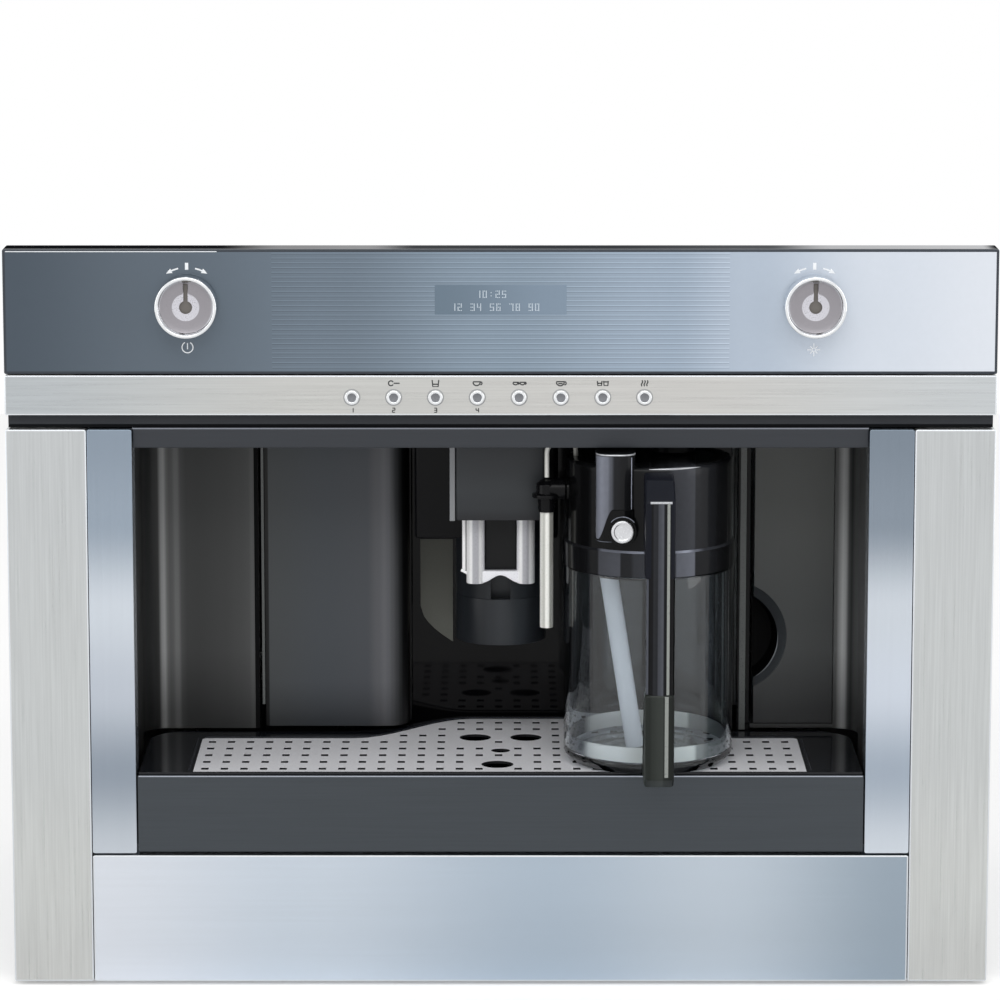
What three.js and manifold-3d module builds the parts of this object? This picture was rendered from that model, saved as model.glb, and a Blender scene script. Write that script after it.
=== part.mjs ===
// Built-in bean-to-cup coffee machine with a clip-on milk jug, as an assembly of separate pieces.
// Millimetres. +X is to the right as seen by the user, +Y to the rear, +Z up.
// The pieces are drawn with the front plane at y = 0. The last lines move the whole machine so
// that the origin is at the middle of its footprint, on the floor of the kitchen niche.
import * as THREE from 'three';
import { mergeVertices } from 'three/addons/utils/BufferGeometryUtils.js';
import Module from 'manifold-3d';

const wasm = await Module();
wasm.setup();

// ---- driving dimensions ----
const GAP = 0.4;                 // clearance between pieces that touch
const HALF_WIDTH = 298.5;        // half of the 597 mm front
const TOP = 455;                 // top of the control panel
const FASCIA_BOTTOM = 2.4;       // the front hangs this far above the niche floor
const PAN_DEPTH = 20;            // folded depth of the front panels
const SHEET = 2;                 // sheet metal thickness
const COLUMN_IN = 249.9;         // inner edge of the outer steel columns
const OPENING = 222.4;           // half width of the cavity's opening
const PANEL_BOTTOM = 379.4;      // lower edge of the control panel
const STRIP = { bottom: 354.4, top: 378.6 };
const SHADOW = { bottom: 346.2, top: 353.8 };
const COLUMN_TOP = 345.6;
const VALANCE_BOTTOM = 334;
const FASCIA_TOP = 81.8;
const TRAY_TOP = 131.8;          // top edge of the drip tray's front
const SIDE_X = 256;              // inner face of the side panels
const BACK_Y = 350;              // front face of the rear cover
const BODY_TOP = 405;            // top of the body, lower than the front it stands behind
const FLOOR_Z = 8;               // underside of the chassis floor

const KNOB = { x: 188, z: 421.4, radius: 18.5, back: -2.2, front: -15.5, stem: 3 };
const BUTTON = { first: -89.5, pitch: 25.15, count: 8, z: 365.3, radius: 4.4 };
const DISPLAY = { width: 79, height: 18, z: 424.5 };

const CAVITY = { side: 226, back: 117, recessBack: 163, ceiling: 336, radius: 15, wall: 2.5 };
const RECESS = { left: -57, right: 150 };
const DOOR = { left: -149, edge: -72, radius: 14, lip: 7, bottom: 136, top: 333.5, thick: 3 };
const DOOR_PIN = { x: -147, y: 121.5, radius: 1.5 };
const TANK = { left: 160.4, right: 210.7, back: 330, bottom: 138, top: 329, front: 117 };
const SCOOP = { x: 148, z: 194.4, radius: 36, depth: 22, notch: 187 };

const SHELF_TOP = 84;
const TRAY = { half: 221, sideBack: 114, centreBack: 158, bottom: 84.4, rim: 133.4, wall: 4 };
const GRID = { left: -188, right: 187, front: 5, sideBack: 95, centreBack: 150, thick: 2, top: 133.2 };
const S_LEFT = [-93, -18];       // where the tray's rear edge swings back, on the left
const S_RIGHT = [75, 143];       // and where it comes forward again, behind the jug
const HOLE = { first: -181.3, pitchX: 12, row: 13.5, pitchY: 18, width: 4.6, length: 6.2 };
const LARGE_HOLES = [[-16, 98, 10], [16, 98, 10], [-2, 25, 10], [0, 62, 6]];

const SPOUT = { half: 28, front: 50, back: 82.3, bottom: 281, top: 335.3 };
const NOZZLE = { x: 15.6, y: 68, radius: 5.65, bore: 3.8, bottom: 238.6 };
const COLUMN = { y: 111.1, radius: 28.4, bottom: 195.5, groove: 225 };

const JUG = { x: 91, y: 42, radius: 52, inner: 49.6, bottom: 133.9, top: 256.2 };
const LID = { band: 52.6, radius: 51, bottom: 256.6, bandTop: 271.4, top: 323.4 };
const TURRET = { left: 57.5, right: 81, front: -12, bottom: 278.7, top: 332.2 };
const CLEAN = { x: 73.3, z: 285.4, radius: 6.9 };
const HANDLE = { x: 95, width: 18, front: -45, thick: 16, bottom: 134, top: 321.4 };
const MILK = { x: 28.2, y: 36, radius: 4.1, bottom: 217, top: 289.2, pivot: 303.4 };

const RAIL = { front: 24, back: 346, low: 12, high: 58 };
const HOPPER = { left: -80, right: 60, front: 196, back: 330, bottom: 345 };
const LID_PIN = { y: 340.5, z: 408.8, radius: 1.6 };
const GRIND = { x: 92, y: 262 };

// ---- shape helpers ----

// Shared vertices merged, flat triangles dropped, and the faces turned outwards.
function closed(geometry) {
  const bare = geometry.index ? geometry.toNonIndexed() : geometry.clone();
  bare.deleteAttribute('normal');
  bare.deleteAttribute('uv');
  const merged = mergeVertices(bare, 1e-4);
  const p = merged.attributes.position.array;
  const kept = [];
  let volume = 0;
  for (let i = 0; i < merged.index.count; i += 3) {
    const [a, b, c] = [0, 1, 2].map((k) => merged.index.array[i + k]);
    if (a === b || b === c || c === a) continue;
    kept.push(a, b, c);
    const [ax, ay, az] = [p[3 * a], p[3 * a + 1], p[3 * a + 2]];
    const [bx, by, bz] = [p[3 * b], p[3 * b + 1], p[3 * b + 2]];
    const [cx, cy, cz] = [p[3 * c], p[3 * c + 1], p[3 * c + 2]];
    volume += ax * (by * cz - bz * cy) - ay * (bx * cz - bz * cx) + az * (bx * cy - by * cx);
  }
  if (volume < 0) kept.reverse();
  merged.setIndex(kept);
  return merged;
}

function solid(geometry) {
  const mesh = closed(geometry);
  return new wasm.Manifold(new wasm.Mesh({
    numProp: 3,
    vertProperties: new Float32Array(mesh.attributes.position.array),
    triVerts: new Uint32Array(mesh.index.array),
  }));
}

function geometryOf(body) {
  const mesh = body.getMesh();
  const geometry = new THREE.BufferGeometry();
  geometry.setAttribute('position', new THREE.BufferAttribute(mesh.vertProperties, 3));
  geometry.setIndex(new THREE.BufferAttribute(mesh.triVerts, 1));
  return geometry;
}

function join(...parts) {
  return geometryOf(parts.map(solid).reduce((a, b) => a.add(b)));
}

function cut(body, ...tools) {
  return geometryOf(tools.map(solid).reduce((a, b) => a.subtract(b), solid(body)));
}

function box([x0, x1], [y0, y1], [z0, z1]) {
  const geometry = new THREE.BoxGeometry(x1 - x0, y1 - y0, z1 - z0);
  return geometry.translate((x0 + x1) / 2, (y0 + y1) / 2, (z0 + z1) / 2);
}

function outline(points) {
  return new THREE.Shape(points.map(([a, b]) => new THREE.Vector2(a, b)));
}

function extrude(shape, depth, curveSegments = 6) {
  return new THREE.ExtrudeGeometry(shape, { depth, bevelEnabled: false, curveSegments });
}

// A plan outline (x, y) raised from z0 to z1.
function raise(shape, z0, z1, curveSegments) {
  return extrude(shape, z1 - z0, curveSegments).translate(0, 0, z0);
}

// A front outline (x, z) given a depth from y0 to y1.
function deepen(shape, y0, y1, curveSegments) {
  return extrude(shape, y1 - y0, curveSegments).rotateX(Math.PI / 2).translate(0, y1, 0);
}

// A side outline (y, z) given a width from x0 to x1.
function widen(shape, x0, x1, curveSegments) {
  const turn = new THREE.Matrix4().makeBasis(
    new THREE.Vector3(0, 1, 0), new THREE.Vector3(0, 0, 1), new THREE.Vector3(1, 0, 0));
  return extrude(shape, x1 - x0, curveSegments).applyMatrix4(turn).translate(x0, 0, 0);
}

function roundedRectangle([x0, x1], [y0, y1], r) {
  const shape = new THREE.Shape();
  shape.moveTo(x0 + r, y0).lineTo(x1 - r, y0).absarc(x1 - r, y0 + r, r, -Math.PI / 2, 0);
  shape.lineTo(x1, y1 - r).absarc(x1 - r, y1 - r, r, 0, Math.PI / 2);
  shape.lineTo(x0 + r, y1).absarc(x0 + r, y1 - r, r, Math.PI / 2, Math.PI);
  shape.lineTo(x0, y0 + r).absarc(x0 + r, y0 + r, r, Math.PI, 1.5 * Math.PI);
  return shape;
}

// A profile of [radius, height] pairs turned about the vertical at (x, y).
function turnZ(profile, x, y, segments = 32) {
  const points = profile.map(([r, h]) => new THREE.Vector2(r, h));
  return new THREE.LatheGeometry(points, segments).rotateX(Math.PI / 2).translate(x, y, 0);
}

// The same about a line along Y through (x, z): [radius, y] pairs.
function turnY(profile, x, z, segments = 32) {
  const points = profile.map(([r, h]) => new THREE.Vector2(r, h));
  return new THREE.LatheGeometry(points, segments).translate(x, 0, z);
}

function postZ(x, y, r, z0, z1, segments = 24) {
  return turnZ([[0, z0], [r, z0], [r, z1], [0, z1]], x, y, segments);
}

function postY(x, z, r, y0, y1, segments = 24) {
  return turnY([[0, y0], [r, y0], [r, y1], [0, y1]], x, z, segments);
}

function postX(y, z, r, x0, x1, segments = 24) {
  const post = new THREE.CylinderGeometry(r, r, x1 - x0, segments).rotateZ(Math.PI / 2);
  return post.translate((x0 + x1) / 2, y, z);
}

// A folded sheet pan: a front sheet with a flange all round, open to the rear.
function pan([x0, x1], [z0, z1], sheet = SHEET) {
  const inside = box([x0 + sheet, x1 - sheet], [sheet, PAN_DEPTH + 1], [z0 + sheet, z1 - sheet]);
  return cut(box([x0, x1], [0, PAN_DEPTH], [z0, z1]), inside);
}

// The same span on the other side of the machine.
function mirrored([low, high]) {
  return [-high, -low];
}

// ---- finishes: colour, roughness, metalness ----
const FINISH = {
  steel: [0xcdd0ce, 0.35, 0.9],
  polished: [0xb9c6d6, 0.15, 0.9],
  darkSteel: [0x484c52, 0.4, 0.7],
  chrome: [0xe6e8ea, 0.08, 1],
  panelGlass: [0x8c9eaf, 0.08, 0.3],
  lens: [0x5d6e7e, 0.15, 0.1],
  satinBlack: [0x2a2b2e, 0.45, 0],
  glossBlack: [0x101114, 0.12, 0],
  graphite: [0x44484e, 0.4, 0.2],
  clearGlass: [0xdfe6ea, 0.03, 0],
  milkyPlastic: [0xd9dde4, 0.3, 0],
  zinc: [0xa9adb0, 0.5, 0.8],
  circuit: [0x2d6a43, 0.5, 0],
  castAluminium: [0xb4b6b8, 0.55, 0.8],
  tankPlastic: [0xb8c4cc, 0.2, 0],
};

const machine = new THREE.Group();

function add(name, geometry, [color, roughness, metalness]) {
  const material = new THREE.MeshStandardMaterial({ color, roughness, metalness });
  const mesh = new THREE.Mesh(closed(geometry), material);
  mesh.name = name;
  machine.add(mesh);
}

// ---- front: control panel, knobs, display and buttons ----

function controlPanel() {
  const shell = pan([-HALF_WIDTH, HALF_WIDTH], [PANEL_BOTTOM, TOP]);
  const stemHoles = [-1, 1].map((side) => postY(side * KNOB.x, KNOB.z, KNOB.stem + 0.4, -1, 5, 16));
  const half = DISPLAY.width / 2 + GAP;
  const tall = DISPLAY.height / 2 + GAP;
  const opening = box([-half, half], [-1, 5], [DISPLAY.z - tall, DISPLAY.z + tall]);
  add('control_panel', cut(shell, ...stemHoles, opening), FINISH.panelGlass);
}

function displayModule() {
  const tall = DISPLAY.height / 2;
  const lens = box([-DISPLAY.width / 2, DISPLAY.width / 2], [0.2, 8], [DISPLAY.z - tall, DISPLAY.z + tall]);
  add('display', lens, FINISH.lens);
}

// A turned knob: a raised ring round a dished face with a keyhole-shaped pointer sunk into it.
function knob(name, x) {
  const { radius, back, front, stem } = KNOB;
  const turned = turnY([[0, back - 5], [stem + 0.4, back - 5], [stem + 0.4, back], [radius, back],
    [radius, front + 1.2], [radius - 0.9, front], [radius - 3, front], [radius - 4.5, front + 2.4],
    [radius / 2, front + 3.6], [0, front + 4]], x, KNOB.z, 36);
  const eye = postY(x, KNOB.z, 4, front - 1, front + 5, 20);
  const slot = box([x - 1.6, x + 1.6], [front - 1, front + 4.6], [KNOB.z + 2, KNOB.z + 13]);
  add(name, cut(turned, join(eye, slot)), FINISH.chrome);
}

function knobStem(name, x) {
  add(name, postY(x, KNOB.z, KNOB.stem, KNOB.back - 4.4, 11, 16), FINISH.zinc);
}

function buttonX(index) {
  return BUTTON.first + BUTTON.pitch * index;
}

function buttonStrip() {
  const shell = pan([-HALF_WIDTH, HALF_WIDTH], [STRIP.bottom, STRIP.top]);
  const holes = [...Array(BUTTON.count).keys()].map(
    (i) => postY(buttonX(i), BUTTON.z, BUTTON.radius + GAP, -1, 5, 16));
  add('button_strip', cut(shell, ...holes), FINISH.steel);
}

// A push button with a rounded ring, a dimple, and a rear flange that keeps it in the strip.
function pushButton(index) {
  const r = BUTTON.radius;
  const profile = [[0, -0.8], [r - 1.6, -1.4], [r - 1, -2], [r, -1.4], [r, 4], [r + 1.4, 4],
    [r + 1.4, 5.2], [0, 5.2]];
  add(`button_${index + 1}`, turnY(profile, buttonX(index), BUTTON.z, 16), FINISH.chrome);
}

// The board behind the panel, on two pillars. Two bridges carry it past the panels' folded edges.
function controlBoard() {
  const tall = [STRIP.bottom + 3, TOP - 6];
  const edges = [STRIP.top - SHEET - 1, PANEL_BOTTOM + SHEET + 1];
  const board = cut(box([-160, 160], [14, 15.6], tall), box([-161, 161], [13, 17], edges));
  const bridges = [-120, 120].map((x) => cut(
    box([x - 8, x + 8], [14, PAN_DEPTH + 2.4], [edges[0] - 8, edges[1] + 8]),
    box([x - 9, x + 9], [13, PAN_DEPTH + GAP], edges)));
  const pillars = [-150, 150].map((x) => postY(x, 442, 3, SHEET + GAP, 14.5, 10));
  add('control_board', join(board, ...bridges, ...pillars), FINISH.circuit);
}

// ---- front: columns, trims, fascia ----

function frontPanels() {
  for (const [side, sign] of [['left', -1], ['right', 1]]) {
    const span = (a, b) => (sign < 0 ? mirrored([a, b]) : [a, b]);
    add(`column_${side}`, pan(span(COLUMN_IN, HALF_WIDTH), [FASCIA_BOTTOM, COLUMN_TOP]), FINISH.steel);
    const trim = pan(span(OPENING, COLUMN_IN - GAP), [FASCIA_TOP + 1.4, COLUMN_TOP]);
    add(`trim_${side}`, trim, FINISH.polished);
  }
  const fascia = pan([GAP - COLUMN_IN, COLUMN_IN - GAP], [FASCIA_BOTTOM, FASCIA_TOP]);
  add('bottom_fascia', fascia, FINISH.polished);
}

// ---- body ----

// The side panel carries the inner member of its telescopic rail.
function sidePanel(name, sign) {
  const span = (a, b) => (sign < 0 ? mirrored([a, b]) : [a, b]);
  const sheet = box(span(SIDE_X, SIDE_X + SHEET), [PAN_DEPTH + GAP, BACK_Y], [FLOOR_Z, BODY_TOP]);
  const slider = box(span(SIDE_X + 1, SIDE_X + 8.4), [RAIL.front + 1, RAIL.back - 1],
    [RAIL.low + 7, RAIL.high - 7]);
  add(name, join(sheet, slider), FINISH.zinc);
}

function chassis() {
  const wide = [-SIDE_X + GAP, SIDE_X - GAP];
  const deep = [PAN_DEPTH + GAP, BACK_Y - GAP];
  add('chassis_floor', box(wide, deep, [FLOOR_Z, FLOOR_Z + SHEET]), FINISH.zinc);
  sidePanel('side_panel_left', -1);
  sidePanel('side_panel_right', 1);

  const hole = box([HOPPER.left, HOPPER.right], [HOPPER.front, HOPPER.back], [BODY_TOP - 5, BODY_TOP + 1]);
  const knobHole = postZ(GRIND.x, GRIND.y, 9, BODY_TOP - 5, BODY_TOP + 1, 20);
  const top = box(wide, deep, [BODY_TOP - SHEET, BODY_TOP]);
  add('top_cover', cut(top, hole, knobHole), FINISH.zinc);

  add('tray_shelf', box(wide, [PAN_DEPTH + GAP, 240], [SHELF_TOP - SHEET, SHELF_TOP - 0.1]), FINISH.zinc);
}

// The rear cover has two rows of air slots and the mains inlet, a socket with three flat pins.
function rearCover() {
  const sheet = box([-SIDE_X - SHEET, SIDE_X + SHEET], [BACK_Y + GAP, BACK_Y + GAP + SHEET],
    [FLOOR_Z, BODY_TOP]);
  const slots = [];
  for (const z of [296, 338]) {
    for (let i = 0; i < 7; i += 1) {
      const x = -180 + 20 * i;
      slots.push(box([x, x + 6], [BACK_Y - 1, BACK_Y + 4], [z, z + 30]));
    }
  }
  const [x, z] = [205, 72];
  const inlet = box([x - 15, x + 15], [BACK_Y - 18, BACK_Y + 4.4], [z - 12, z + 12]);
  const recess = box([x - 12, x + 12], [BACK_Y - 14, BACK_Y + 5], [z - 8.5, z + 8.5]);
  const pins = [[-7, -2], [0, 2], [7, -2]].map(([dx, dz]) => box(
    [x + dx - 1, x + dx + 1], [BACK_Y - 15, BACK_Y], [z + dz - 2, z + dz + 2]));
  add('rear_cover', join(cut(sheet, ...slots, recess), cut(inlet, recess), ...pins), FINISH.zinc);
}

// C-section rails: the outer one stands on a foot that screws to the niche floor.
function rails(side, sign) {
  const { front, back, low, high } = RAIL;
  const place = (points) => outline(points.map(([a, b]) => [sign * a, b]));
  const section = (points, y0, y1) => deepen(place(points), y0, y1);
  const inner = SIDE_X + 4;
  const middle = [[inner, low + 3], [inner + 12, low + 3], [inner + 12, high - 3], [inner, high - 3],
    [inner, high - 5], [inner + 10, high - 5], [inner + 10, low + 5], [inner, low + 5]];
  add(`middle_rail_${side}`, section(middle, front, back), FINISH.zinc);
  const web = inner + 14.5;
  const outer = [[232, 0], [web, 0], [web, high], [inner - 1, high], [inner - 1, high - 2],
    [web - 2, high - 2], [web - 2, low + 2], [inner + 3, low + 2], [inner + 3, low], [web - 2, low],
    [web - 2, 3], [232, 3]];
  const screwHoles = [front + 30, back - 30].map((y) => postZ(sign * 242, y, 2.5, -1, 4, 12));
  add(`outer_rail_${side}`, cut(section(outer, front, back), ...screwHoles), FINISH.zinc);
}

// ---- cavity ----

// The left lining: side wall, rounded corner and rear wall, and a bay for the brew unit behind it.
function cavityWallLeft() {
  const { side, back, radius, wall } = CAVITY;
  const front = PAN_DEPTH + GAP;
  const edge = DOOR.left - 4;
  const plan = new THREE.Shape();
  plan.moveTo(-side - wall, front).lineTo(-side, front).lineTo(-side, back - radius);
  plan.absarc(-side + radius, back - radius, radius, Math.PI, Math.PI / 2, true);
  plan.lineTo(edge, back).lineTo(edge, back + wall).lineTo(-side + radius, back + wall);
  plan.absarc(-side + radius, back - radius, radius + wall, Math.PI / 2, Math.PI, false);
  const upper = raise(plan, TRAY.rim + 1.2, CAVITY.ceiling - GAP);
  const low = box([-side - wall, -side], [front, back - radius], [SHELF_TOP + GAP, TRAY.rim + 2]);
  const bayWall = box([edge - wall, edge], [back + 1, 244], [180, CAVITY.ceiling - GAP]);
  const bayShelf = box([edge - wall, -64], [back + 9, 244], [180, 182.5]);
  add('cavity_wall_left', join(upper, low, bayWall, bayShelf), FINISH.satinBlack);
}

// The right lining: side wall and rounded corner, and the shelf that the water tank slides on.
function cavityWallRight() {
  const { side, back, radius, wall } = CAVITY;
  const front = PAN_DEPTH + GAP;
  const edge = side - radius + 0.3;
  const plan = new THREE.Shape();
  plan.moveTo(side, front).lineTo(side + wall, front).lineTo(side + wall, back - radius);
  plan.absarc(side - radius, back - radius, radius + wall, 0, Math.PI / 2, false);
  plan.lineTo(side - radius, back).absarc(side - radius, back - radius, radius, Math.PI / 2, 0, true);
  const upper = raise(plan, TRAY.rim + 1.2, CAVITY.ceiling - GAP);
  const low = box([side, side + wall], [front, back - radius], [SHELF_TOP + GAP, TRAY.rim + 2]);
  const shelf = box([TANK.left - 2, side + wall], [back + 1, TANK.back + 6],
    [TANK.bottom - 3.4, TANK.bottom - GAP]);
  const guide = box([edge + 0.8, side + wall], [back + 1, TANK.back + 6], [TANK.bottom - 3.4, 160]);
  add('cavity_wall_right', join(upper, low, shelf, guide), FINISH.satinBlack);
}

// The deep middle recess, with the steam outlet that the jug plugs on to. Its left wall stops above
// the tray, which swings back behind it.
function cavityBack() {
  const { back, recessBack, ceiling, wall } = CAVITY;
  const { left, right } = RECESS;
  const plan = outline([[left - wall, back + 23], [left, back + 23], [left, recessBack], [right, recessBack],
    [right, back], [right + 8, back], [right + 8, back + wall], [right + wall, back + wall],
    [right + wall, recessBack + wall], [left - wall, recessBack + wall]]);
  const passage = box([left - wall - 1, left + 0.5], [back + 22, recessBack - 0.5],
    [SHELF_TOP, TRAY.rim + 1.2]);
  const walls = cut(raise(plan, SHELF_TOP + GAP, ceiling - GAP), passage);
  const outlet = postY(JUG.x, 300, 8, JUG.y + LID.radius + 0.6, recessBack + 1, 20);
  add('cavity_back', join(walls, outlet), FINISH.glossBlack);
}

// One moulding: ceiling, the valance over the opening, and the black shadow gap above it.
function cavityTop() {
  const valance = box([-OPENING + GAP, OPENING - GAP], [3, 9], [VALANCE_BOTTOM, SHADOW.bottom + 1]);
  const plate = box([-CAVITY.side - 2, CAVITY.side + 2], [PAN_DEPTH + GAP, CAVITY.recessBack + 3],
    [CAVITY.ceiling, CAVITY.ceiling + CAVITY.wall]);
  const neck = box([-OPENING + GAP, OPENING - GAP], [8, PAN_DEPTH + 1],
    [CAVITY.ceiling, CAVITY.ceiling + CAVITY.wall]);
  const shadow = box([-HALF_WIDTH + 1.5, HALF_WIDTH - 1.5], [5, PAN_DEPTH], [SHADOW.bottom, SHADOW.top]);
  add('cavity_top', join(valance, plate, neck, shadow), FINISH.graphite);
}

// The door over the brew unit: a flat panel whose right edge rolls back into the recess.
function serviceDoor() {
  const { left, edge, radius, lip, bottom, top, thick } = DOOR;
  const { back } = CAVITY;
  const plan = new THREE.Shape();
  plan.moveTo(left, back).lineTo(edge, back);
  plan.absarc(edge, back + radius, radius, -Math.PI / 2, 0, false);
  plan.lineTo(edge + radius, back + radius + lip).lineTo(edge + radius - thick, back + radius + lip);
  plan.lineTo(edge + radius - thick, back + radius);
  plan.absarc(edge, back + radius, radius - thick, 0, -Math.PI / 2, true);
  plan.lineTo(left, back + thick);
  const panel = raise(plan, bottom, top);
  const barrel = postZ(DOOR_PIN.x, DOOR_PIN.y, DOOR_PIN.radius + 1, bottom, top, 12);
  add('service_door', join(panel, barrel), FINISH.graphite);
}

// ---- water tank ----

// The tank's front corner is notched behind the finger scoop of its front plate.
function waterTank() {
  const { left, right, back, bottom, top, front } = TANK;
  const wall = 2.5;
  const start = front + 3 + GAP;
  const reach = SCOOP.radius + 1;
  const notch = (extra) => box([left - 5, SCOOP.notch + extra], [start - 5, start + SCOOP.depth + extra],
    [SCOOP.z - reach - extra, SCOOP.z + reach + extra]);
  const outer = cut(box([left + 0.5, right - 0.5], [start, back], [bottom, top]), notch(0));
  const inner = cut(box([left + 3, right - 3], [start + wall, back - wall], [bottom + wall, top + 5]),
    notch(wall));
  add('water_tank', cut(outer, inner), FINISH.tankPlastic);
  const plate = box([left, right], [front, front + 3], [bottom, DOOR.top]);
  add('tank_front', cut(plate, postY(SCOOP.x, SCOOP.z, SCOOP.radius, front - 5, front + 5, 36)),
    FINISH.graphite);
}

// ---- drip tray ----

// The rear edge of the tray: y at the sides, swinging back along a cosine to y in the middle.
function rearEdge(x, sideY, centreY) {
  const left = (x - S_LEFT[0]) / (S_LEFT[1] - S_LEFT[0]);
  const right = (S_RIGHT[1] - x) / (S_RIGHT[1] - S_RIGHT[0]);
  const t = THREE.MathUtils.clamp(Math.min(left, right), 0, 1);
  return sideY + (centreY - sideY) * (1 - Math.cos(Math.PI * t)) / 2;
}

function trayPlan(left, right, front, sideY, centreY, radius) {
  const shape = new THREE.Shape();
  const steps = 9;
  shape.moveTo(left, front).lineTo(right, front).lineTo(right, sideY - radius);
  shape.absarc(right - radius, sideY - radius, radius, 0, Math.PI / 2, false);
  for (const [to, from] of [S_RIGHT, S_LEFT]) {
    for (let i = 0; i <= steps; i += 1) {
      const x = from + (to - from) * i / steps;
      shape.lineTo(x, rearEdge(x, sideY, centreY));
    }
  }
  shape.lineTo(left + radius, sideY);
  shape.absarc(left + radius, sideY - radius, radius, Math.PI / 2, Math.PI, false);
  return shape;
}

// A black basin under a broad rim, with a ledge that the grid lies on.
function dripTray() {
  const { half, sideBack, centreBack, bottom, rim, wall } = TRAY;
  const { left, right, front, thick, top } = GRID;
  const body = raise(trayPlan(-half, half, 2.8, sideBack, centreBack, 24), bottom, rim, 4);
  const seat = raise(trayPlan(left - GAP, right + GAP, front - GAP, GRID.sideBack + GAP,
    GRID.centreBack + GAP, 3), top - thick - 0.3, rim + 1, 2);
  const mouth = raise(trayPlan(left + wall, right - wall, front + wall, GRID.sideBack - wall,
    GRID.centreBack - wall, 6), rim - 6, rim + 1, 2);
  const basin = raise(trayPlan(-half + wall, half - wall, 2.8 + wall, sideBack - wall,
    centreBack - wall, 20), bottom + 2.5, rim - 5, 4);
  add('drip_tray', cut(body, seat, mouth, basin), FINISH.glossBlack);
  const frontPlate = box([-half - 0.5, half + 0.5], [0, 2.4], [bottom - 0.2, TRAY_TOP]);
  add('tray_front', frontPlate, FINISH.darkSteel);
}

// The steel grid: small oblong holes in rows, left out where the large round holes are.
function dripGrid() {
  const { left, right, front, sideBack, centreBack, thick, top } = GRID;
  const plate = raise(trayPlan(left, right, front, sideBack, centreBack, 3), top - thick, top, 3);
  const halfX = HOLE.width / 2;
  const halfY = HOLE.length / 2;
  const deep = [top - thick - 1, top + 1];
  const holes = LARGE_HOLES.map(([x, y, r]) => postZ(x, y, r, ...deep, 20));
  for (let y = HOLE.row; y < centreBack - 5; y += HOLE.pitchY) {
    for (let x = HOLE.first; x < right - 5; x += HOLE.pitchX) {
      const nearLarge = LARGE_HOLES.some(([a, b, r]) => Math.hypot(x - a, y - b) < r + 6);
      const edge = Math.min(...[-halfX, halfX].map((d) => rearEdge(x + d, sideBack, centreBack)));
      if (nearLarge || y > edge - 6) continue;
      holes.push(box([x - halfX, x + halfX], [y - halfY, y + halfY], deep));
    }
  }
  add('drip_grid', cut(plate, ...holes), FINISH.steel);
}

// Pulled out with the tray, as spent coffee falls into it from the brew unit above.
function groundsContainer() {
  const outer = box([-195, -103], [TRAY.sideBack + GAP, 227], [TRAY.bottom, 131]);
  const inner = box([-193, -105], [TRAY.sideBack + GAP + 2, 225], [TRAY.bottom + 2, 135]);
  add('grounds_container', cut(outer, inner), FINISH.satinBlack);
}

// ---- coffee spout ----

// The fixed column that the spout slides on, with the black block that carries it at the top.
function spoutColumn() {
  const { half, back, top } = SPOUT;
  const { y, radius, bottom, groove: foot } = COLUMN;
  const rear = CAVITY.recessBack - GAP;
  const round = postZ(0, y, radius, bottom, top, 40);
  const web = box([-radius, radius], [y, rear], [bottom, top]);
  const block = box([-54, half + 8], [96, rear], [SPOUT.bottom + 4, top]);
  const groove = box([-6.2, 6.2], [back - 2, back + 9], [foot, top + 1]);
  add('spout_column', cut(join(round, web, block), groove), FINISH.graphite);
}

// The sliding head: a flat-fronted housing, a tongue in the column's groove, and a rear plate
// between the nozzles.
function spoutHousing() {
  const { half, front, back, bottom, top } = SPOUT;
  const head = raise(roundedRectangle([-half, half], [front, back], 3), bottom, top, 4);
  const tongue = box([-5.6, 5.6], [back - 1, back + 8.2], [bottom - 16, top]);
  const plate = box([-9.6, 9.6], [NOZZLE.y + 2, NOZZLE.y + 6], [bottom - 34, bottom + 1]);
  const link = box([-5.6, 5.6], [NOZZLE.y + 5, back], [bottom - 16, bottom + 1]);
  add('spout_housing', join(head, tongue, plate, link), FINISH.graphite);
}

// Two chrome nozzles joined near their mouths by an arched bridge.
function spoutNozzles() {
  const { x, y, radius, bore, bottom } = NOZZLE;
  const top = SPOUT.bottom - 0.3;
  const profile = [[0, bottom + 30], [bore, bottom + 30], [bore, bottom], [radius, bottom],
    [radius, top], [0, top]];
  const tubes = [-x, x].map((at) => turnZ(profile, at, y, 24));
  const arch = new THREE.Shape();
  const reach = x - bore - 0.6;
  arch.moveTo(-reach, bottom + 8).lineTo(-reach, bottom + 0.5);
  arch.bezierCurveTo(-reach / 2, bottom + 0.5, -reach / 2, bottom + 5, 0, bottom + 5);
  arch.bezierCurveTo(reach / 2, bottom + 5, reach / 2, bottom + 0.5, reach, bottom + 0.5);
  arch.lineTo(reach, bottom + 8);
  add('spout_nozzles', join(...tubes, deepen(arch, y - 3.5, y + 1.6, 5)), FINISH.chrome);
}

// ---- milk jug ----

function jugGlass() {
  const { x, y, radius, inner, bottom, top } = JUG;
  const profile = [[0, bottom], [radius - 5, bottom], [radius - 1.2, bottom + 2.2], [radius, bottom + 6],
    [radius, top], [inner, top], [inner, bottom + 7], [inner - 3, bottom + 4], [0, bottom + 4]];
  add('jug_glass', turnZ(profile, x, y, 48), FINISH.clearGlass);
  const ring = [[inner - 0.4, bottom + 7.6], [inner - 0.4, bottom + 17], [inner - 1.4, bottom + 17],
    [inner - 1.4, bottom + 7.6], [inner - 0.4, bottom + 7.6]];
  add('jug_base_ring', turnZ(ring, x, y, 48), FINISH.steel);
}

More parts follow.
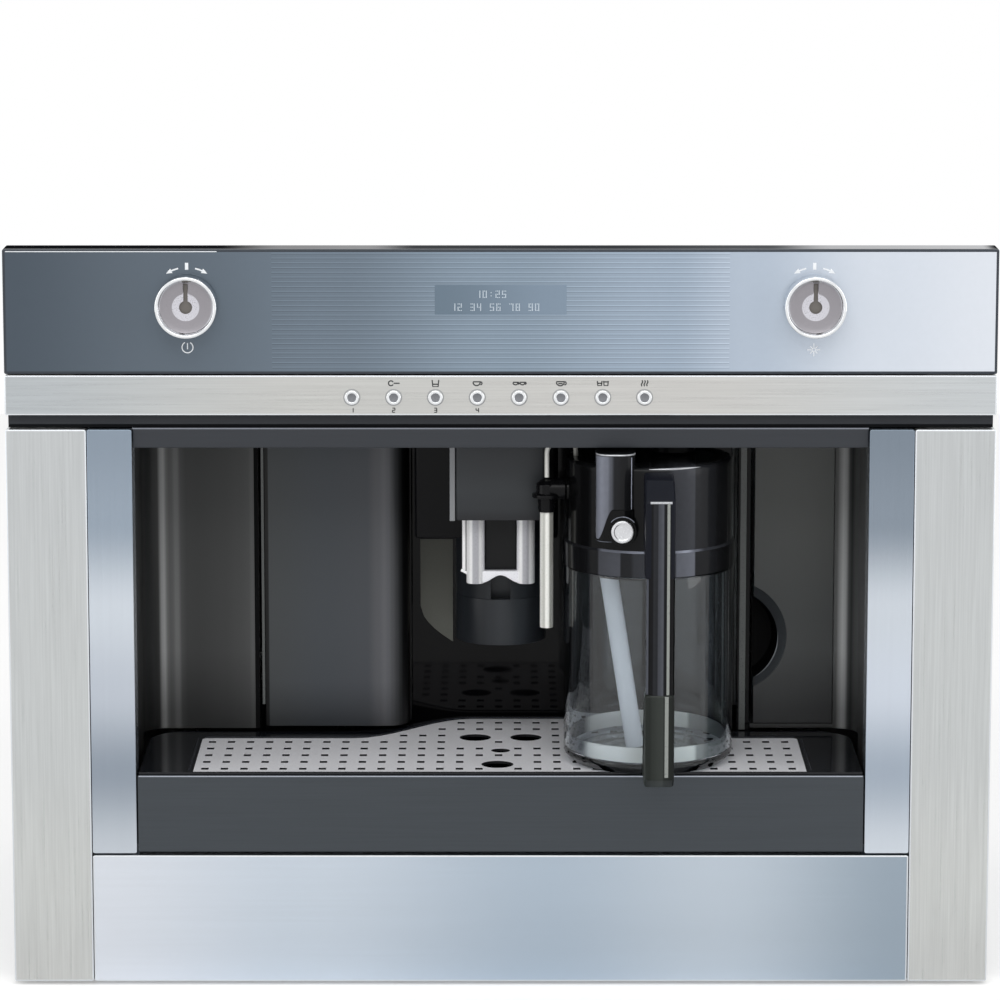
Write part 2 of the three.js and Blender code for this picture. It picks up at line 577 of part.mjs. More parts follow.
// The lid: a hollow cap with a lip in the glass, the turret that holds the froth valve, the round
// housing of the clean button and the side port of the milk spout.
function jugLid() {
  const { x, y, inner, top } = JUG;
  const { band, radius, bottom, bandTop } = LID;
  const lip = inner - 0.4;
  const profile = [[0, LID.top - 3], [radius - 5, LID.top - 3], [lip - 1.6, LID.top - 6],
    [lip - 1.6, top - 6], [lip, top - 6], [lip, bottom], [band, bottom], [band, bandTop],
    [radius, bandTop + 1], [radius, LID.top - 5], [radius - 4, LID.top], [0, LID.top]];
  const cap = turnZ(profile, x, y, 48);
  const tower = raise(roundedRectangle([TURRET.left, TURRET.right], [TURRET.front, 22], 8),
    TURRET.bottom, TURRET.top, 4);
  const housing = postY(CLEAN.x, CLEAN.z, CLEAN.radius + 2, TURRET.front, 4, 28);
  const well = postY(CLEAN.x, CLEAN.z, CLEAN.radius + GAP, TURRET.front - 5, TURRET.front + 6.6, 28);
  const port = postX(MILK.y, MILK.pivot, 7, 40.2, 46, 20);
  add('jug_lid', cut(join(cap, tower, housing, port), well), FINISH.glossBlack);
  const button = [[0, TURRET.front - 2.4], [CLEAN.radius - 1.2, TURRET.front - 2.4],
    [CLEAN.radius, TURRET.front - 1.4], [CLEAN.radius, TURRET.front + 3.8], [0, TURRET.front + 3.8]];
  add('clean_button', turnY(button, CLEAN.x, CLEAN.z, 24), FINISH.chrome);
}

// One upright bar, joined to the lid at the top and turned in towards the glass at the foot.
function jugHandle() {
  const { x, width, front, thick, bottom, top } = HANDLE;
  const inner = front + thick;
  const lidFace = JUG.y - LID.radius - 0.9;
  const glassFace = JUG.y - JUG.radius - 1;
  const side = outline([[front, bottom + 4], [front, top - 12], [front + 4, top], [lidFace, top],
    [lidFace, LID.bandTop + 2], [inner + 6, LID.bandTop + 2], [inner, LID.bandTop - 8],
    [inner, bottom + 24], [inner + 5, bottom + 18], [glassFace, bottom + 18], [glassFace, bottom],
    [front + 4, bottom]]);
  add('jug_handle', widen(side, x - width / 2, x + width / 2), FINISH.glossBlack);
}

// The slanted tube that draws milk from the bottom of the jug up into the lid.
function milkIntakeTube() {
  const low = new THREE.Vector3(83, 40, JUG.bottom + 5.6);
  const high = new THREE.Vector3(55, 34, LID.top - 4);
  const along = high.clone().sub(low);
  const tube = new THREE.CylinderGeometry(4.2, 4.2, along.length(), 16);
  tube.applyQuaternion(new THREE.Quaternion().setFromUnitVectors(
    new THREE.Vector3(0, 1, 0), along.clone().normalize()));
  tube.translate(...low.clone().add(high).multiplyScalar(0.5).toArray());
  add('milk_intake_tube', tube, FINISH.milkyPlastic);
}

// The tube that pours frothed milk: it swivels on a boss at the side of the lid.
function milkSpout() {
  const { x, y, radius, bottom, top, pivot } = MILK;
  const profile = [[0, top - 12], [radius - 1.2, top - 12], [radius - 1.2, bottom], [radius, bottom],
    [radius, top], [6.2, top], [6.5, top + 8.6], [9, top + 9.2], [9, top + 11.4], [6.5, top + 12],
    [6.5, pivot + 5], [4.5, pivot + 7], [0, pivot + 7]];
  const boss = postX(y, pivot, 6.5, x, 39.6, 20);
  add('milk_spout', join(turnZ(profile, x, y, 20), boss), FINISH.chrome);
}

function frothDial() {
  const z = LID.top + GAP;
  const dial = turnZ([[0, z], [14, z], [14, z + 5], [12.5, z + 6.6], [0, z + 6.6]], 106, 60, 28);
  const grip = box([93, 119], [58, 62], [z + 6, z + 8.6]);
  add('froth_dial', join(dial, grip), FINISH.satinBlack);
}

// ---- beans, grinder and water circuit ----

function beanHopper() {
  const { left, right, front, back, bottom } = HOPPER;
  const rim = BODY_TOP - SHEET - GAP;
  const funnel = (inset, lift) => outline([[left + inset, rim + lift], [right - inset, rim + lift],
    [right - inset, bottom + 32 + inset / 2], [18 - inset, bottom + inset], [-38 + inset, bottom + inset],
    [left + inset, bottom + 32 + inset / 2]]);
  const outer = deepen(funnel(0, 0), front, back);
  const inner = deepen(funnel(3, 4), front + 3, back - 3);
  const outlet = box([-25, 5], [248, 278], [bottom - 2, bottom + 8]);
  add('bean_hopper', cut(outer, inner, outlet), FINISH.tankPlastic);
}

// A flat lid with a finger bar at the front, hinged along its rear edge.
function hopperLid() {
  const z = BODY_TOP + GAP;
  const plate = box([HOPPER.left - 10, HOPPER.right + 10], [HOPPER.front - 10, HOPPER.back + 9],
    [z, z + 2.8]);
  const bar = box([-40, 20], [HOPPER.front - 7, HOPPER.front - 3], [z + 2, z + 5.6]);
  const knuckle = postX(LID_PIN.y, LID_PIN.z, LID_PIN.radius, HOPPER.left, HOPPER.right, 12);
  const web = box([HOPPER.left, HOPPER.right], [HOPPER.back + 6, LID_PIN.y], [z + 1, z + 3.4]);
  add('hopper_lid', join(plate, bar, knuckle, web), FINISH.satinBlack);
}

// The grinder and the chute that drops ground coffee into the brew unit.
function grinder() {
  const top = HOPPER.bottom - GAP;
  const drum = turnZ([[0, 222], [30, 222], [30, 262], [38, 266], [38, top - 14], [24, top], [0, top]],
    -10, 263, 28);
  const cross = box([-120, -40], [240, 258], [328, 342]);
  const run = box([-120, -100], [200, 258], [328, 342]);
  const drop = box([-120, -100], [200, 222], [326, 342]);
  add('grinder', join(drum, cross, run, drop), FINISH.castAluminium);
}

function grindKnob() {
  const z = BODY_TOP + GAP;
  const profile = [[0, BODY_TOP - 14], [8.4, BODY_TOP - 14], [8.4, z], [14, z], [14, z + 6],
    [12.5, z + 7.4], [0, z + 7.4]];
  const cap = turnZ(profile, GRIND.x, GRIND.y, 24);
  const mark = box([GRIND.x - 1, GRIND.x + 1], [GRIND.y - 11, GRIND.y], [z + 7, z + 8.6]);
  add('grind_knob', join(cap, mark), FINISH.satinBlack);
}

// The brewing group: frame, brewing cylinder and its spindle.
function brewUnit() {
  const base = 182.5 + GAP;
  const frameBlock = box([-146, -78], [142, 234], [base, base + 26]);
  const backPlate = box([-146, -78], [218, 234], [base, 318]);
  const cylinder = postZ(-112, 182, 29, base + 20, 284, 28);
  const piston = postZ(-112, 182, 12, 280, 318, 20);
  const head = box([-142, -82], [154, 222], [304, 325]);
  add('brew_unit', join(frameBlock, backPlate, cylinder, piston, head), FINISH.satinBlack);
}

// The water heater: a cast block with cooling fins on the chassis floor.
function thermoblock() {
  const base = FLOOR_Z + SHEET + GAP;
  const block = box([60, 140], [170, 280], [base, base + 44]);
  const fins = [...Array(7).keys()].map((i) => box(
    [62 + 12 * i, 66 + 12 * i], [172, 278], [base + 43, base + 64]));
  add('thermoblock', join(block, ...fins), FINISH.castAluminium);
}

function pump() {
  const base = FLOOR_Z + SHEET + GAP;
  const [y, z] = [285, base + 30];
  const body = postX(y, z, 22, -60, 10, 24);
  const nose = postX(y, z, 10, 9, 44, 16);
  const foot = box([-50, 0], [y - 20, y + 20], [base, z - 8]);
  add('pump', join(body, nose, foot), FINISH.zinc);
}

// ---- assembly ----

controlPanel();
displayModule();
for (const [side, sign] of [['left', -1], ['right', 1]]) {
  knob(`${side}_knob`, sign * KNOB.x);
  knobStem(`${side}_knob_stem`, sign * KNOB.x);
  rails(side, sign);
}
buttonStrip();
for (let index = 0; index < BUTTON.count; index += 1) pushButton(index);
controlBoard();
frontPanels();
chassis();
rearCover();
cavityWallLeft();
cavityWallRight();
cavityBack();
cavityTop();
serviceDoor();
waterTank();
dripTray();
dripGrid();
groundsContainer();
spoutColumn();
spoutHousing();
spoutNozzles();
jugGlass();
jugLid();
jugHandle();
milkIntakeTube();
milkSpout();
frothDial();
beanHopper();
hopperLid();
grinder();
grindKnob();
brewUnit();
thermoblock();
pump();

// The origin goes to the middle of the machine's bounding box in plan.
const bounds = new THREE.Box3().setFromObject(machine);
machine.position.y = -(bounds.min.y + bounds.max.y) / 2;

export default machine;
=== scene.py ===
from math import pi, radians

import bmesh
import bpy
import numpy as np
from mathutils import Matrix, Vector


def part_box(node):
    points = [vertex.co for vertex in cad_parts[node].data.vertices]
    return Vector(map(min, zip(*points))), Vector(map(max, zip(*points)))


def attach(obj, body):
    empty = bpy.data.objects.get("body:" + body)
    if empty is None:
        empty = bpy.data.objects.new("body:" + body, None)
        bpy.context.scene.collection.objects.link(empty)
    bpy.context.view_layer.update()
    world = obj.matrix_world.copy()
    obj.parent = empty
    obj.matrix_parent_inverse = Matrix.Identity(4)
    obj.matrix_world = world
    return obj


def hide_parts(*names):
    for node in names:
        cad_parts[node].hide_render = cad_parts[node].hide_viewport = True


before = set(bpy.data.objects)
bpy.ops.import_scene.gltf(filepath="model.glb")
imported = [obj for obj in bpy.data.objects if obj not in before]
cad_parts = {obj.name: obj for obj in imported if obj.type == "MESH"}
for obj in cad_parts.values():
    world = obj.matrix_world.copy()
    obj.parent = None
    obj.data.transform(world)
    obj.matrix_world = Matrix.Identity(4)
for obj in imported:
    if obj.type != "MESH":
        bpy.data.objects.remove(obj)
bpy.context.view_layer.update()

MM = 0.001
MERGE = 0.5e-5  # points nearer than this are one


# ---- Studio ----
# A pale floor under the machine, a white surround, and three large soft lamps at a plain level:
# one high in front and one low on each side.

def wire(tree, kind, inputs=(), **settings):
    """Adds a shader node. An input is a plain value or the output of another node."""
    made = tree.nodes.new(kind)
    for key, value in settings.items():
        setattr(made, key, value)
    for key, value in dict(inputs).items():
        if isinstance(value, bpy.types.NodeSocket):
            tree.links.new(value, made.inputs[key])
        else:
            made.inputs[key].default_value = value
    return made


def srgb(red, green, blue):
    """Linear colour of an 8-bit sRGB one: the usual power curve with its straight foot."""
    part = np.array([red, green, blue]) / 255
    linear = np.where(part <= 0.04045, part / 12.92, ((part + 0.055) / 1.055) ** 2.4)
    return (*linear.tolist(), 1.0)


def sees_background(tree):
    """1 for rays that come straight from the camera, a reflection or clear glass, else 0."""
    path = wire(tree, "ShaderNodeLightPath").outputs
    glossy = wire(tree, "ShaderNodeMath", {0: path["Is Camera Ray"], 1: path["Is Glossy Ray"]},
        operation="MAXIMUM")
    return wire(tree, "ShaderNodeMath", {0: glossy.outputs[0], 1: path["Is Transmission Ray"]},
        operation="MAXIMUM").outputs[0]


SURROUND_LEVEL = 0.62

world = bpy.data.worlds.new("surround")
world.use_nodes = True
sky = world.node_tree
strength = wire(sky, "ShaderNodeMapRange", {"Value": sees_background(sky), "To Min": SURROUND_LEVEL,
    "To Max": 1.0})
sky.links.new(strength.outputs["Result"], sky.nodes["Background"].inputs["Strength"])
sky.nodes["Background"].inputs["Color"].default_value = (1.0, 1.0, 1.0, 1.0)
bpy.context.scene.world = world
bpy.context.scene.view_settings.view_transform = "Standard"

FLOOR_RADIUS = 2.2
FLOOR_LIFT = 0.3  # light added where the camera sees the floor, which brings it up to white


def floor_finish():
    """Pale matt floor with a faint mottle."""
    material = bpy.data.materials.new("floor_paint")
    material.use_nodes = True
    tree = material.node_tree
    place = wire(tree, "ShaderNodeTexCoord").outputs["Object"]
    mottle = wire(tree, "ShaderNodeTexNoise", {"Vector": place, "Scale": 6.0}).outputs["Fac"]
    shade = wire(tree, "ShaderNodeMapRange", {"Value": mottle, "To Min": 0.86, "To Max": 0.9})
    shader = tree.nodes["Principled BSDF"]
    tree.links.new(shade.outputs[0], shader.inputs["Base Color"])
    shader.inputs["Roughness"].default_value = 0.85
    seen = wire(tree, "ShaderNodeLightPath").outputs["Is Camera Ray"]
    lift = wire(tree, "ShaderNodeMath", {0: seen, 1: FLOOR_LIFT}, operation="MULTIPLY")
    tree.links.new(lift.outputs[0], shader.inputs["Emission Strength"])
    shader.inputs["Emission Color"].default_value = (1.0, 1.0, 1.0, 1.0)
    return material


turn = np.linspace(0, 2 * pi, 96, endpoint=False)
rim = np.stack([np.cos(turn), np.sin(turn), np.zeros(96)], -1) * FLOOR_RADIUS
floor_mesh = bpy.data.meshes.new("floor")
floor_mesh.from_pydata(rim.tolist(), [], [list(range(96))])
floor_mesh.materials.append(floor_finish())
floor = bpy.data.objects.new("floor", floor_mesh)
bpy.context.collection.objects.link(floor)

LAMPS = {  # place, width and height of the light, power
    "lamp_front": ((0.0, -2.3, 2.2), (2.6, 1.6), 29.0),
    "lamp_left": ((-2.4, -1.3, 0.9), (1.0, 2.2), 9.0),
    "lamp_right": ((2.4, -1.3, 0.9), (1.0, 2.2), 11.0),
}
for name, (place, (width, height), power) in LAMPS.items():
    lamp = bpy.data.lights.new(name, "AREA")
    lamp.shape, lamp.size, lamp.size_y, lamp.energy = "RECTANGLE", width, height, power
    holder = bpy.data.objects.new(name, lamp)
    holder.location = place
    aim = holder.location.copy()
    aim.z -= 0.25
    holder.rotation_euler = aim.to_track_quat("Z", "Y").to_euler()
    bpy.context.collection.objects.link(holder)


# ---- Camera ----
# A long lens 2.6 m in front of the machine, a little above it and looking slightly down. The shift
# only sets where the machine stands in the picture.

CAMERA_DISTANCE = 2.6
CAMERA_HEIGHT = 0.76
CAMERA_PITCH = 9.19

front_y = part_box("control_panel")[0][1]
camera = bpy.data.objects.new("camera", bpy.data.cameras.new("camera"))
camera.data.lens = 157.4
camera.data.sensor_width = 36.0
camera.data.shift_y = -0.06
camera.location = (-0.0004, front_y - CAMERA_DISTANCE, CAMERA_HEIGHT)
camera.rotation_euler = (radians(90 - CAMERA_PITCH), 0, 0)
bpy.context.collection.objects.link(camera)
bpy.context.scene.camera = camera


# ---- Outer columns, inner trims and bottom fascia ----
# Folded pans of 2 mm stainless sheet. The columns are brushed upright, the trims and the fascia
# have a blue mirror finish, and every front edge is rolled and polished. Their bands of light and
# dark are painted reflections, and the polished edges are painted lighter as highlights.

def multiplied(tree, colour, by, share=1.0):
    """A colour multiplied by another one, over a share of it."""
    return wire(tree, "ShaderNodeMix", {0: share, 6: colour, 7: by}, data_type="RGBA",
        blend_type="MULTIPLY").outputs[2]


def blended(tree, place, axis, stops):
    """Colour that runs along one axis (0, 1 or 2) through stops of (metres, colour)."""
    along = wire(tree, "ShaderNodeSeparateXYZ", {"Vector": place}).outputs[axis]
    first, last = stops[0][0], stops[-1][0]
    even = wire(tree, "ShaderNodeMapRange", {"Value": along, "From Min": first, "From Max": last})
    ramp = wire(tree, "ShaderNodeValToRGB", {"Fac": even.outputs[0]})
    ramp.color_ramp.interpolation = "EASE"
    for index, (at, colour) in enumerate(stops):
        where = (at - first) / (last - first)
        if 0 < index < len(stops) - 1:
            stop = ramp.color_ramp.elements.new(where)
        else:
            stop = ramp.color_ramp.elements[0 if index == 0 else -1]
            stop.position = where
        stop.color = srgb(*colour)
    return ramp.outputs["Color"]


def finish(name, colour, roughness, metallic=0.0, grain=1500.0, fleck=0.05, relief=0.05, rough_swing=0.05,
    shade=None, fade=None, **sockets):
    """A finish whose colour, gloss and relief follow one noise in object space. grain is how many
    flecks lie in a metre, alone or for each axis; shade is an axis and colour stops along it,
    also for painted bands of reflected light and painted shade; fade is painted shade, darker
    towards the bottom: two heights and the share of the colour left at the lower one."""
    material = bpy.data.materials.new(name)
    material.use_nodes = True
    tree = material.node_tree
    shader = tree.nodes["Principled BSDF"]
    place = wire(tree, "ShaderNodeTexCoord").outputs["Object"]
    scale = np.broadcast_to(grain, 3).astype(float).tolist()
    stretched = wire(tree, "ShaderNodeMapping", {"Vector": place, "Scale": scale})
    noise = wire(tree, "ShaderNodeTexNoise", {"Vector": stretched.outputs[0], "Scale": 1.0, "Detail": 4.0,
        "Roughness": 0.6}).outputs["Fac"]
    limits = {"Value": noise, "From Min": 0.3, "From Max": 0.7}
    swing = wire(tree, "ShaderNodeMapRange", {**limits, "To Min": 1 - fleck, "To Max": 1 + fleck})
    base = srgb(*colour) if shade is None else blended(tree, place, *shade)
    if fade:
        height = wire(tree, "ShaderNodeSeparateXYZ", {"Vector": place}).outputs[2]
        kept = wire(tree, "ShaderNodeMapRange", {"Value": height, "From Min": fade[0],
            "From Max": fade[1], "To Min": fade[2], "To Max": 1.0})
        base = multiplied(tree, base, kept.outputs[0])
    tint = multiplied(tree, base, swing.outputs[0])
    gloss = wire(tree, "ShaderNodeMapRange", {**limits, "To Min": max(roughness - rough_swing, 0),
        "To Max": roughness + rough_swing})
    dent = wire(tree, "ShaderNodeBump", {"Height": noise, "Strength": relief, "Distance": 0.0003})
    tree.links.new(tint, shader.inputs["Base Color"])
    tree.links.new(gloss.outputs[0], shader.inputs["Roughness"])
    tree.links.new(dent.outputs[0], shader.inputs["Normal"])
    shader.inputs["Metallic"].default_value = metallic
    for key, value in sockets.items():
        shader.inputs[key.replace("_", " ")].default_value = value
    return material


def eased(points, radius, steps=4, wraps=False):
    """A line of points with each corner rounded: the corner gives way to a parabolic arc whose
    ends lie a tangent length away, at most 0.48 of the shorter side."""
    points = np.asarray(points, float)
    radii = np.broadcast_to(radius, len(points))
    before, after = np.roll(points, 1, 0), np.roll(points, -1, 0)
    rounded = []
    t = np.linspace(0, 1, steps + 1)[:, None]
    for index, (here, last, next_, r) in enumerate(zip(points, before, after, radii)):
        end = not wraps and index in (0, len(points) - 1)
        back, on = last - here, next_ - here
        a, b = np.linalg.norm(back), np.linalg.norm(on)
        if end or r == 0:
            rounded.append(here[None])
            continue
        cosine = np.clip(back @ on / (a * b), -1, 1)
        half = np.arccos(cosine) / 2
        reach = min(r / np.tan(half), 0.48 * a, 0.48 * b)
        start, stop = here + back / a * reach, here + on / b * reach
        rounded.append((1 - t) ** 2 * start + 2 * t * (1 - t) * here + t ** 2 * stop)
    return np.concatenate(rounded)


def rounded_rectangle(x, z, radius, steps=4):
    """Outline of a rectangle with round corners. It is a function of an inset, which draws the
    sides in and takes as much off the radius of the corners."""
    quarter = np.linspace(0, pi / 2, steps + 1)

    def outline(inset):
        r = max(radius - inset, 0.02 * MM)
        middles = [(x[1], z[1], 0), (x[0], z[1], 1), (x[0], z[0], 2), (x[1], z[0], 3)]
        corners = []
        for at_x, at_z, quarters in middles:
            side_x = 1 if at_x == x[1] else -1
            side_z = 1 if at_z == z[1] else -1
            angle = quarter + quarters * pi / 2
            corners.append(np.stack([at_x - side_x * (inset + r) + r * np.cos(angle),
                at_z - side_z * (inset + r) + r * np.sin(angle)], -1))
        return np.concatenate(corners)
    return outline


ACROSS = {"X": [1, 2, 0], "Y": [0, 2, 1], "Z": [0, 1, 2]}  # an outline's two axes, then its height


def carried(outline, profile, along="Y"):
    """Grid of points: a row for each (inset, height) of the profile, which is the outline at that
    inset, at that height along the given axis."""
    rows = [np.column_stack([outline(inset), np.full(len(outline(0)), height)]) for inset,
        height in profile]
    grid = np.empty((len(rows), len(rows[0]), 3))
    grid[:, :, ACROSS[along]] = np.array(rows)
    return grid


def shell(name, patches, finishes, body, stands_for=(), sharp=32):
    """One piece from patches of (grid, closed round, caps, finish index). Quads join the points
    of a grid; a cap is one flat face over its first (0) or last (-1) row. Seams and poles are
    merged and all faces turned outwards."""
    points, faces, kinds = [], [], []
    start = 0
    for grid, wraps, caps, kind in patches:
        rows, columns = grid.shape[:2]
        index = np.arange(rows * columns).reshape(rows, columns) + start
        start += rows * columns
        points.append(grid.reshape(-1, 3))
        ring = np.hstack([index, index[:, :1]]) if wraps else index
        quads = np.stack([ring[:-1, :-1], ring[:-1, 1:], ring[1:, 1:], ring[1:, :-1]], -1)
        new = quads.reshape(-1, 4).tolist() + [index[cap].tolist() for cap in caps]
        faces += new
        kinds += [kind] * len(new)
    mesh = bpy.data.meshes.new(name)
    mesh.from_pydata(np.concatenate(points).tolist(), [], faces)
    mesh.polygons.foreach_set("material_index", kinds)
    for material in finishes:
        mesh.materials.append(material)
    work = bmesh.new()
    work.from_mesh(mesh)
    bmesh.ops.remove_doubles(work, verts=work.verts, dist=MERGE)
    bmesh.ops.dissolve_degenerate(work, edges=work.edges, dist=1e-7)
    bmesh.ops.recalc_face_normals(work, faces=work.faces)
    work.to_mesh(mesh)
    work.free()
    mesh.shade_smooth()
    mesh.set_sharp_from_angle(angle=radians(sharp))
    made = bpy.data.objects.new(name, mesh)
    bpy.context.collection.objects.link(made)
    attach(made, body)
    if stands_for:
        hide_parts(*np.atleast_1d(stands_for))
    return made


def pan(node, face, edge, flanges=None, sheet=2 * MM, roll=0.9 * MM):
    """Folded sheet pan over a CAD node: from the rear rim of the inside, round the rim and the
    outside of the flanges, to the rolled front edge and the flat face."""
    low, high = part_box(node)
    outline = rounded_rectangle((low[0], high[0]), (low[2], high[2]), 1.2 * MM)
    front, rear = low[1], high[1]
    flange = carried(outline, [(sheet, front + sheet), (sheet, rear), (0, rear), (0, front + roll)])
    rolled = carried(outline, eased([(0, front + roll), (0, front), (roll, front)], roll, 5))
    flat = carried(outline, [(roll, front), (roll + 0.5 * MM, front)])
    return shell(node + "_sheet", [(flange, True, [0], 2), (rolled, True, [], 1), (flat, True, [-1], 0)],
        [face, edge, flanges or face], "machine", node)


# Painted reflection: the column steel is a little lighter low down and darker at the top, as stops along z.
column_steel = finish("brushed_steel_upright", (203, 206, 206), 0.34, 0.92, (900, 900, 14), fleck=0.07,
    relief=0.10, rough_swing=0.08, shade=(2, [(0.0, (208, 209, 207)), (0.06, (212, 214, 212)),
    (0.16, (203, 206, 206)), (0.345, (197, 200, 201))]))
# A glossier polished edge, also painted lighter than the faces as a highlight along the rolled edges.
polished_edge_highlight = finish("polished_edge_highlight", (232, 236, 240), 0.14, 0.95, 2500, fleck=0.02, relief=0.01)
# Painted reflections down the trims: light and dark bands as colour stops along z. The gains for each side
# paint one trim lighter or darker than the other, as lit and shaded copies of one finish.
TRIM_REFLECTION_STOPS = [(0.08, (205, 212, 220)), (0.135, (152, 162, 174)), (0.185, (190, 197, 207)),
    (0.235, (202, 209, 217)), (0.29, (148, 160, 173)), (0.345, (136, 148, 161))]
TRIM_SIDE_LIGHT_GAINS = {"left": (1.02, 1.02, 1.04, 1.05, 1.05, 1.05), "right": (1.08, 1.14, 1.12, 1.04, 0.94, 0.94)}
trim_mirrors = {side: finish(f"blue_mirror_{side}", (150, 162, 176), 0.16, 0.85, (700, 700, 8),
    fleck=0.015, relief=0.02, shade=(2, [(at, tuple(min(part * gain, 250) for part in colour))
    for (at, colour), gain in zip(TRIM_REFLECTION_STOPS, gains)])) for side, gains in TRIM_SIDE_LIGHT_GAINS.items()}
# Painted reflection across the fascia: light at the left and darker towards the right, as stops along x.
fascia_mirror = finish("blue_fascia_steel", (175, 187, 199), 0.2, 0.85, (8, 700, 700), fleck=0.015,
    relief=0.02, shade=(0, [(-0.25, (233, 238, 246)), (-0.12, (217, 227, 238)), (0.03, (190, 204, 218)),
    (0.13, (205, 216, 227)), (0.25, (165, 179, 192))]))
for side in ("left", "right"):
    pan(f"column_{side}", column_steel, polished_edge_highlight)
    pan(f"trim_{side}", trim_mirrors[side], trim_mirrors[side])
pan("bottom_fascia", fascia_mirror, polished_edge_highlight)


# ---- Control panel ----
# A folded pan faced with mirror-backed glass. Its middle has fine level lines, and it carries the
# marks round the two knobs. The glass is painted from slate on the left to pale blue on the right as
# a painted reflection.

def striped(material, half_width, pitch):
    """Level lines over the middle of a finish: each pitch has a light line above a dark one."""
    tree = material.node_tree
    shader = tree.nodes["Principled BSDF"]
    plain = shader.inputs["Base Color"].links[0].from_socket
    place = wire(tree, "ShaderNodeTexCoord").outputs["Object"]
    apart = wire(tree, "ShaderNodeSeparateXYZ", {0: place}).outputs
    turns = wire(tree, "ShaderNodeMath", {0: apart[2], 1: 1 / pitch}, operation="MULTIPLY")
    phase = wire(tree, "ShaderNodeMath", {0: turns.outputs[0]}, operation="FRACT")
    ramp = wire(tree, "ShaderNodeValToRGB", {0: phase.outputs[0]})
    stops = ramp.color_ramp.elements
    stops[0].position, stops[0].color = 0.0, (0.5, 0.5, 0.5, 1)
    stops[1].position, stops[1].color = 1.0, (0.5, 0.5, 0.5, 1)
    for at, value in ((0.4, 0.5), (0.45, 0.37), (0.56, 0.37), (0.62, 0.66), (0.74, 0.66), (0.8, 0.5)):
        stops.new(at).color = (value, value, value, 1)
    gain = wire(tree, "ShaderNodeMath", {0: ramp.outputs[0], 1: 2.0}, operation="MULTIPLY")
    aside = wire(tree, "ShaderNodeMath", {0: apart[0]}, operation="ABSOLUTE")
    inside = wire(tree, "ShaderNodeMath", {0: aside.outputs[0], 1: half_width}, operation="LESS_THAN")
    mixed = multiplied(tree, plain, gain.outputs[0], inside.outputs[0])
    tree.links.new(mixed, shader.inputs["Base Color"])
    return material


def ribbon(path, width, front, depth=0.08 * MM, kind=0):
    """A printed line, a thin raised strip: a path of (x, z) points widened along its normals,
    with four corners at each point."""
    path = np.asarray(path, float)
    ahead = np.gradient(path, axis=0)
    side = np.column_stack([-ahead[:, 1], ahead[:, 0]]) / np.linalg.norm(ahead, axis=1)[:, None]
    reach = side * np.broadcast_to(width, len(path))[:, None] / 2
    corners = [(path + reach, front - depth), (path - reach, front - depth), (path - reach, front),
        (path + reach, front)]
    grid = np.stack([np.column_stack([edge[:, 0], np.full(len(path), y), edge[:, 1]]) for edge,
        y in corners], 1)
    return grid, True, [0, -1], kind


def arc(x, z, radius, start, stop, steps=12):
    """Points on a circle about (x, z), from one angle to another in degrees."""
    angle = np.radians(np.linspace(start, stop, steps))
    return np.column_stack([x + radius * np.cos(angle), z + radius * np.sin(angle)])


def middle_of(node):
    """Place of a node's middle along x and z."""
    low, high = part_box(node)
    return (low[0] + high[0]) / 2, (low[2] + high[2]) / 2


# Painted reflection: the glass darkens to slate at the left and pales to blue at the right.
GLASS_REFLECTION_STOPS = [(-0.3, (70, 81, 92)), (-0.2, (90, 101, 112)), (-0.1, (105, 118, 131)),
    (0.0, (131, 147, 162)), (0.1, (153, 168, 184)), (0.15, (178, 190, 205)), (0.23, (212, 219, 229)),
    (0.3, (222, 227, 235))]
panel_glass = striped(finish("panel_glass", (140, 158, 175), 0.12, 0.35, 300, fleck=0.01, relief=0.0,
    shade=(0, GLASS_REFLECTION_STOPS)), 137.3 * MM, 2.87 * MM)
dark_edge = finish("dark_glass_edge", (52, 58, 66), 0.2, 0.3, 2000, fleck=0.05, relief=0.02)
# Painted light on the top side of the pan: dark at the ends, with pale bands at the left and right, as stops
# along x.
glass_side_reflections = finish("glass_side_reflections", (60, 62, 66), 0.9, 0.0, 2000, fleck=0.04, relief=0.02,
    Specular_IOR_Level=0.0, shade=(0, [(-0.3, (20, 21, 24)), (-0.17, (24, 25, 28)),
    (-0.13, (150, 150, 152)), (-0.08, (160, 160, 162)), (-0.05, (70, 72, 75)), (0.05, (60, 62, 66)),
    (0.16, (90, 92, 95)), (0.2, (196, 197, 199)), (0.29, (206, 207, 209)), (0.297, (40, 42, 45))]))
pan("control_panel", panel_glass, dark_edge, glass_side_reflections, roll=1.7 * MM)

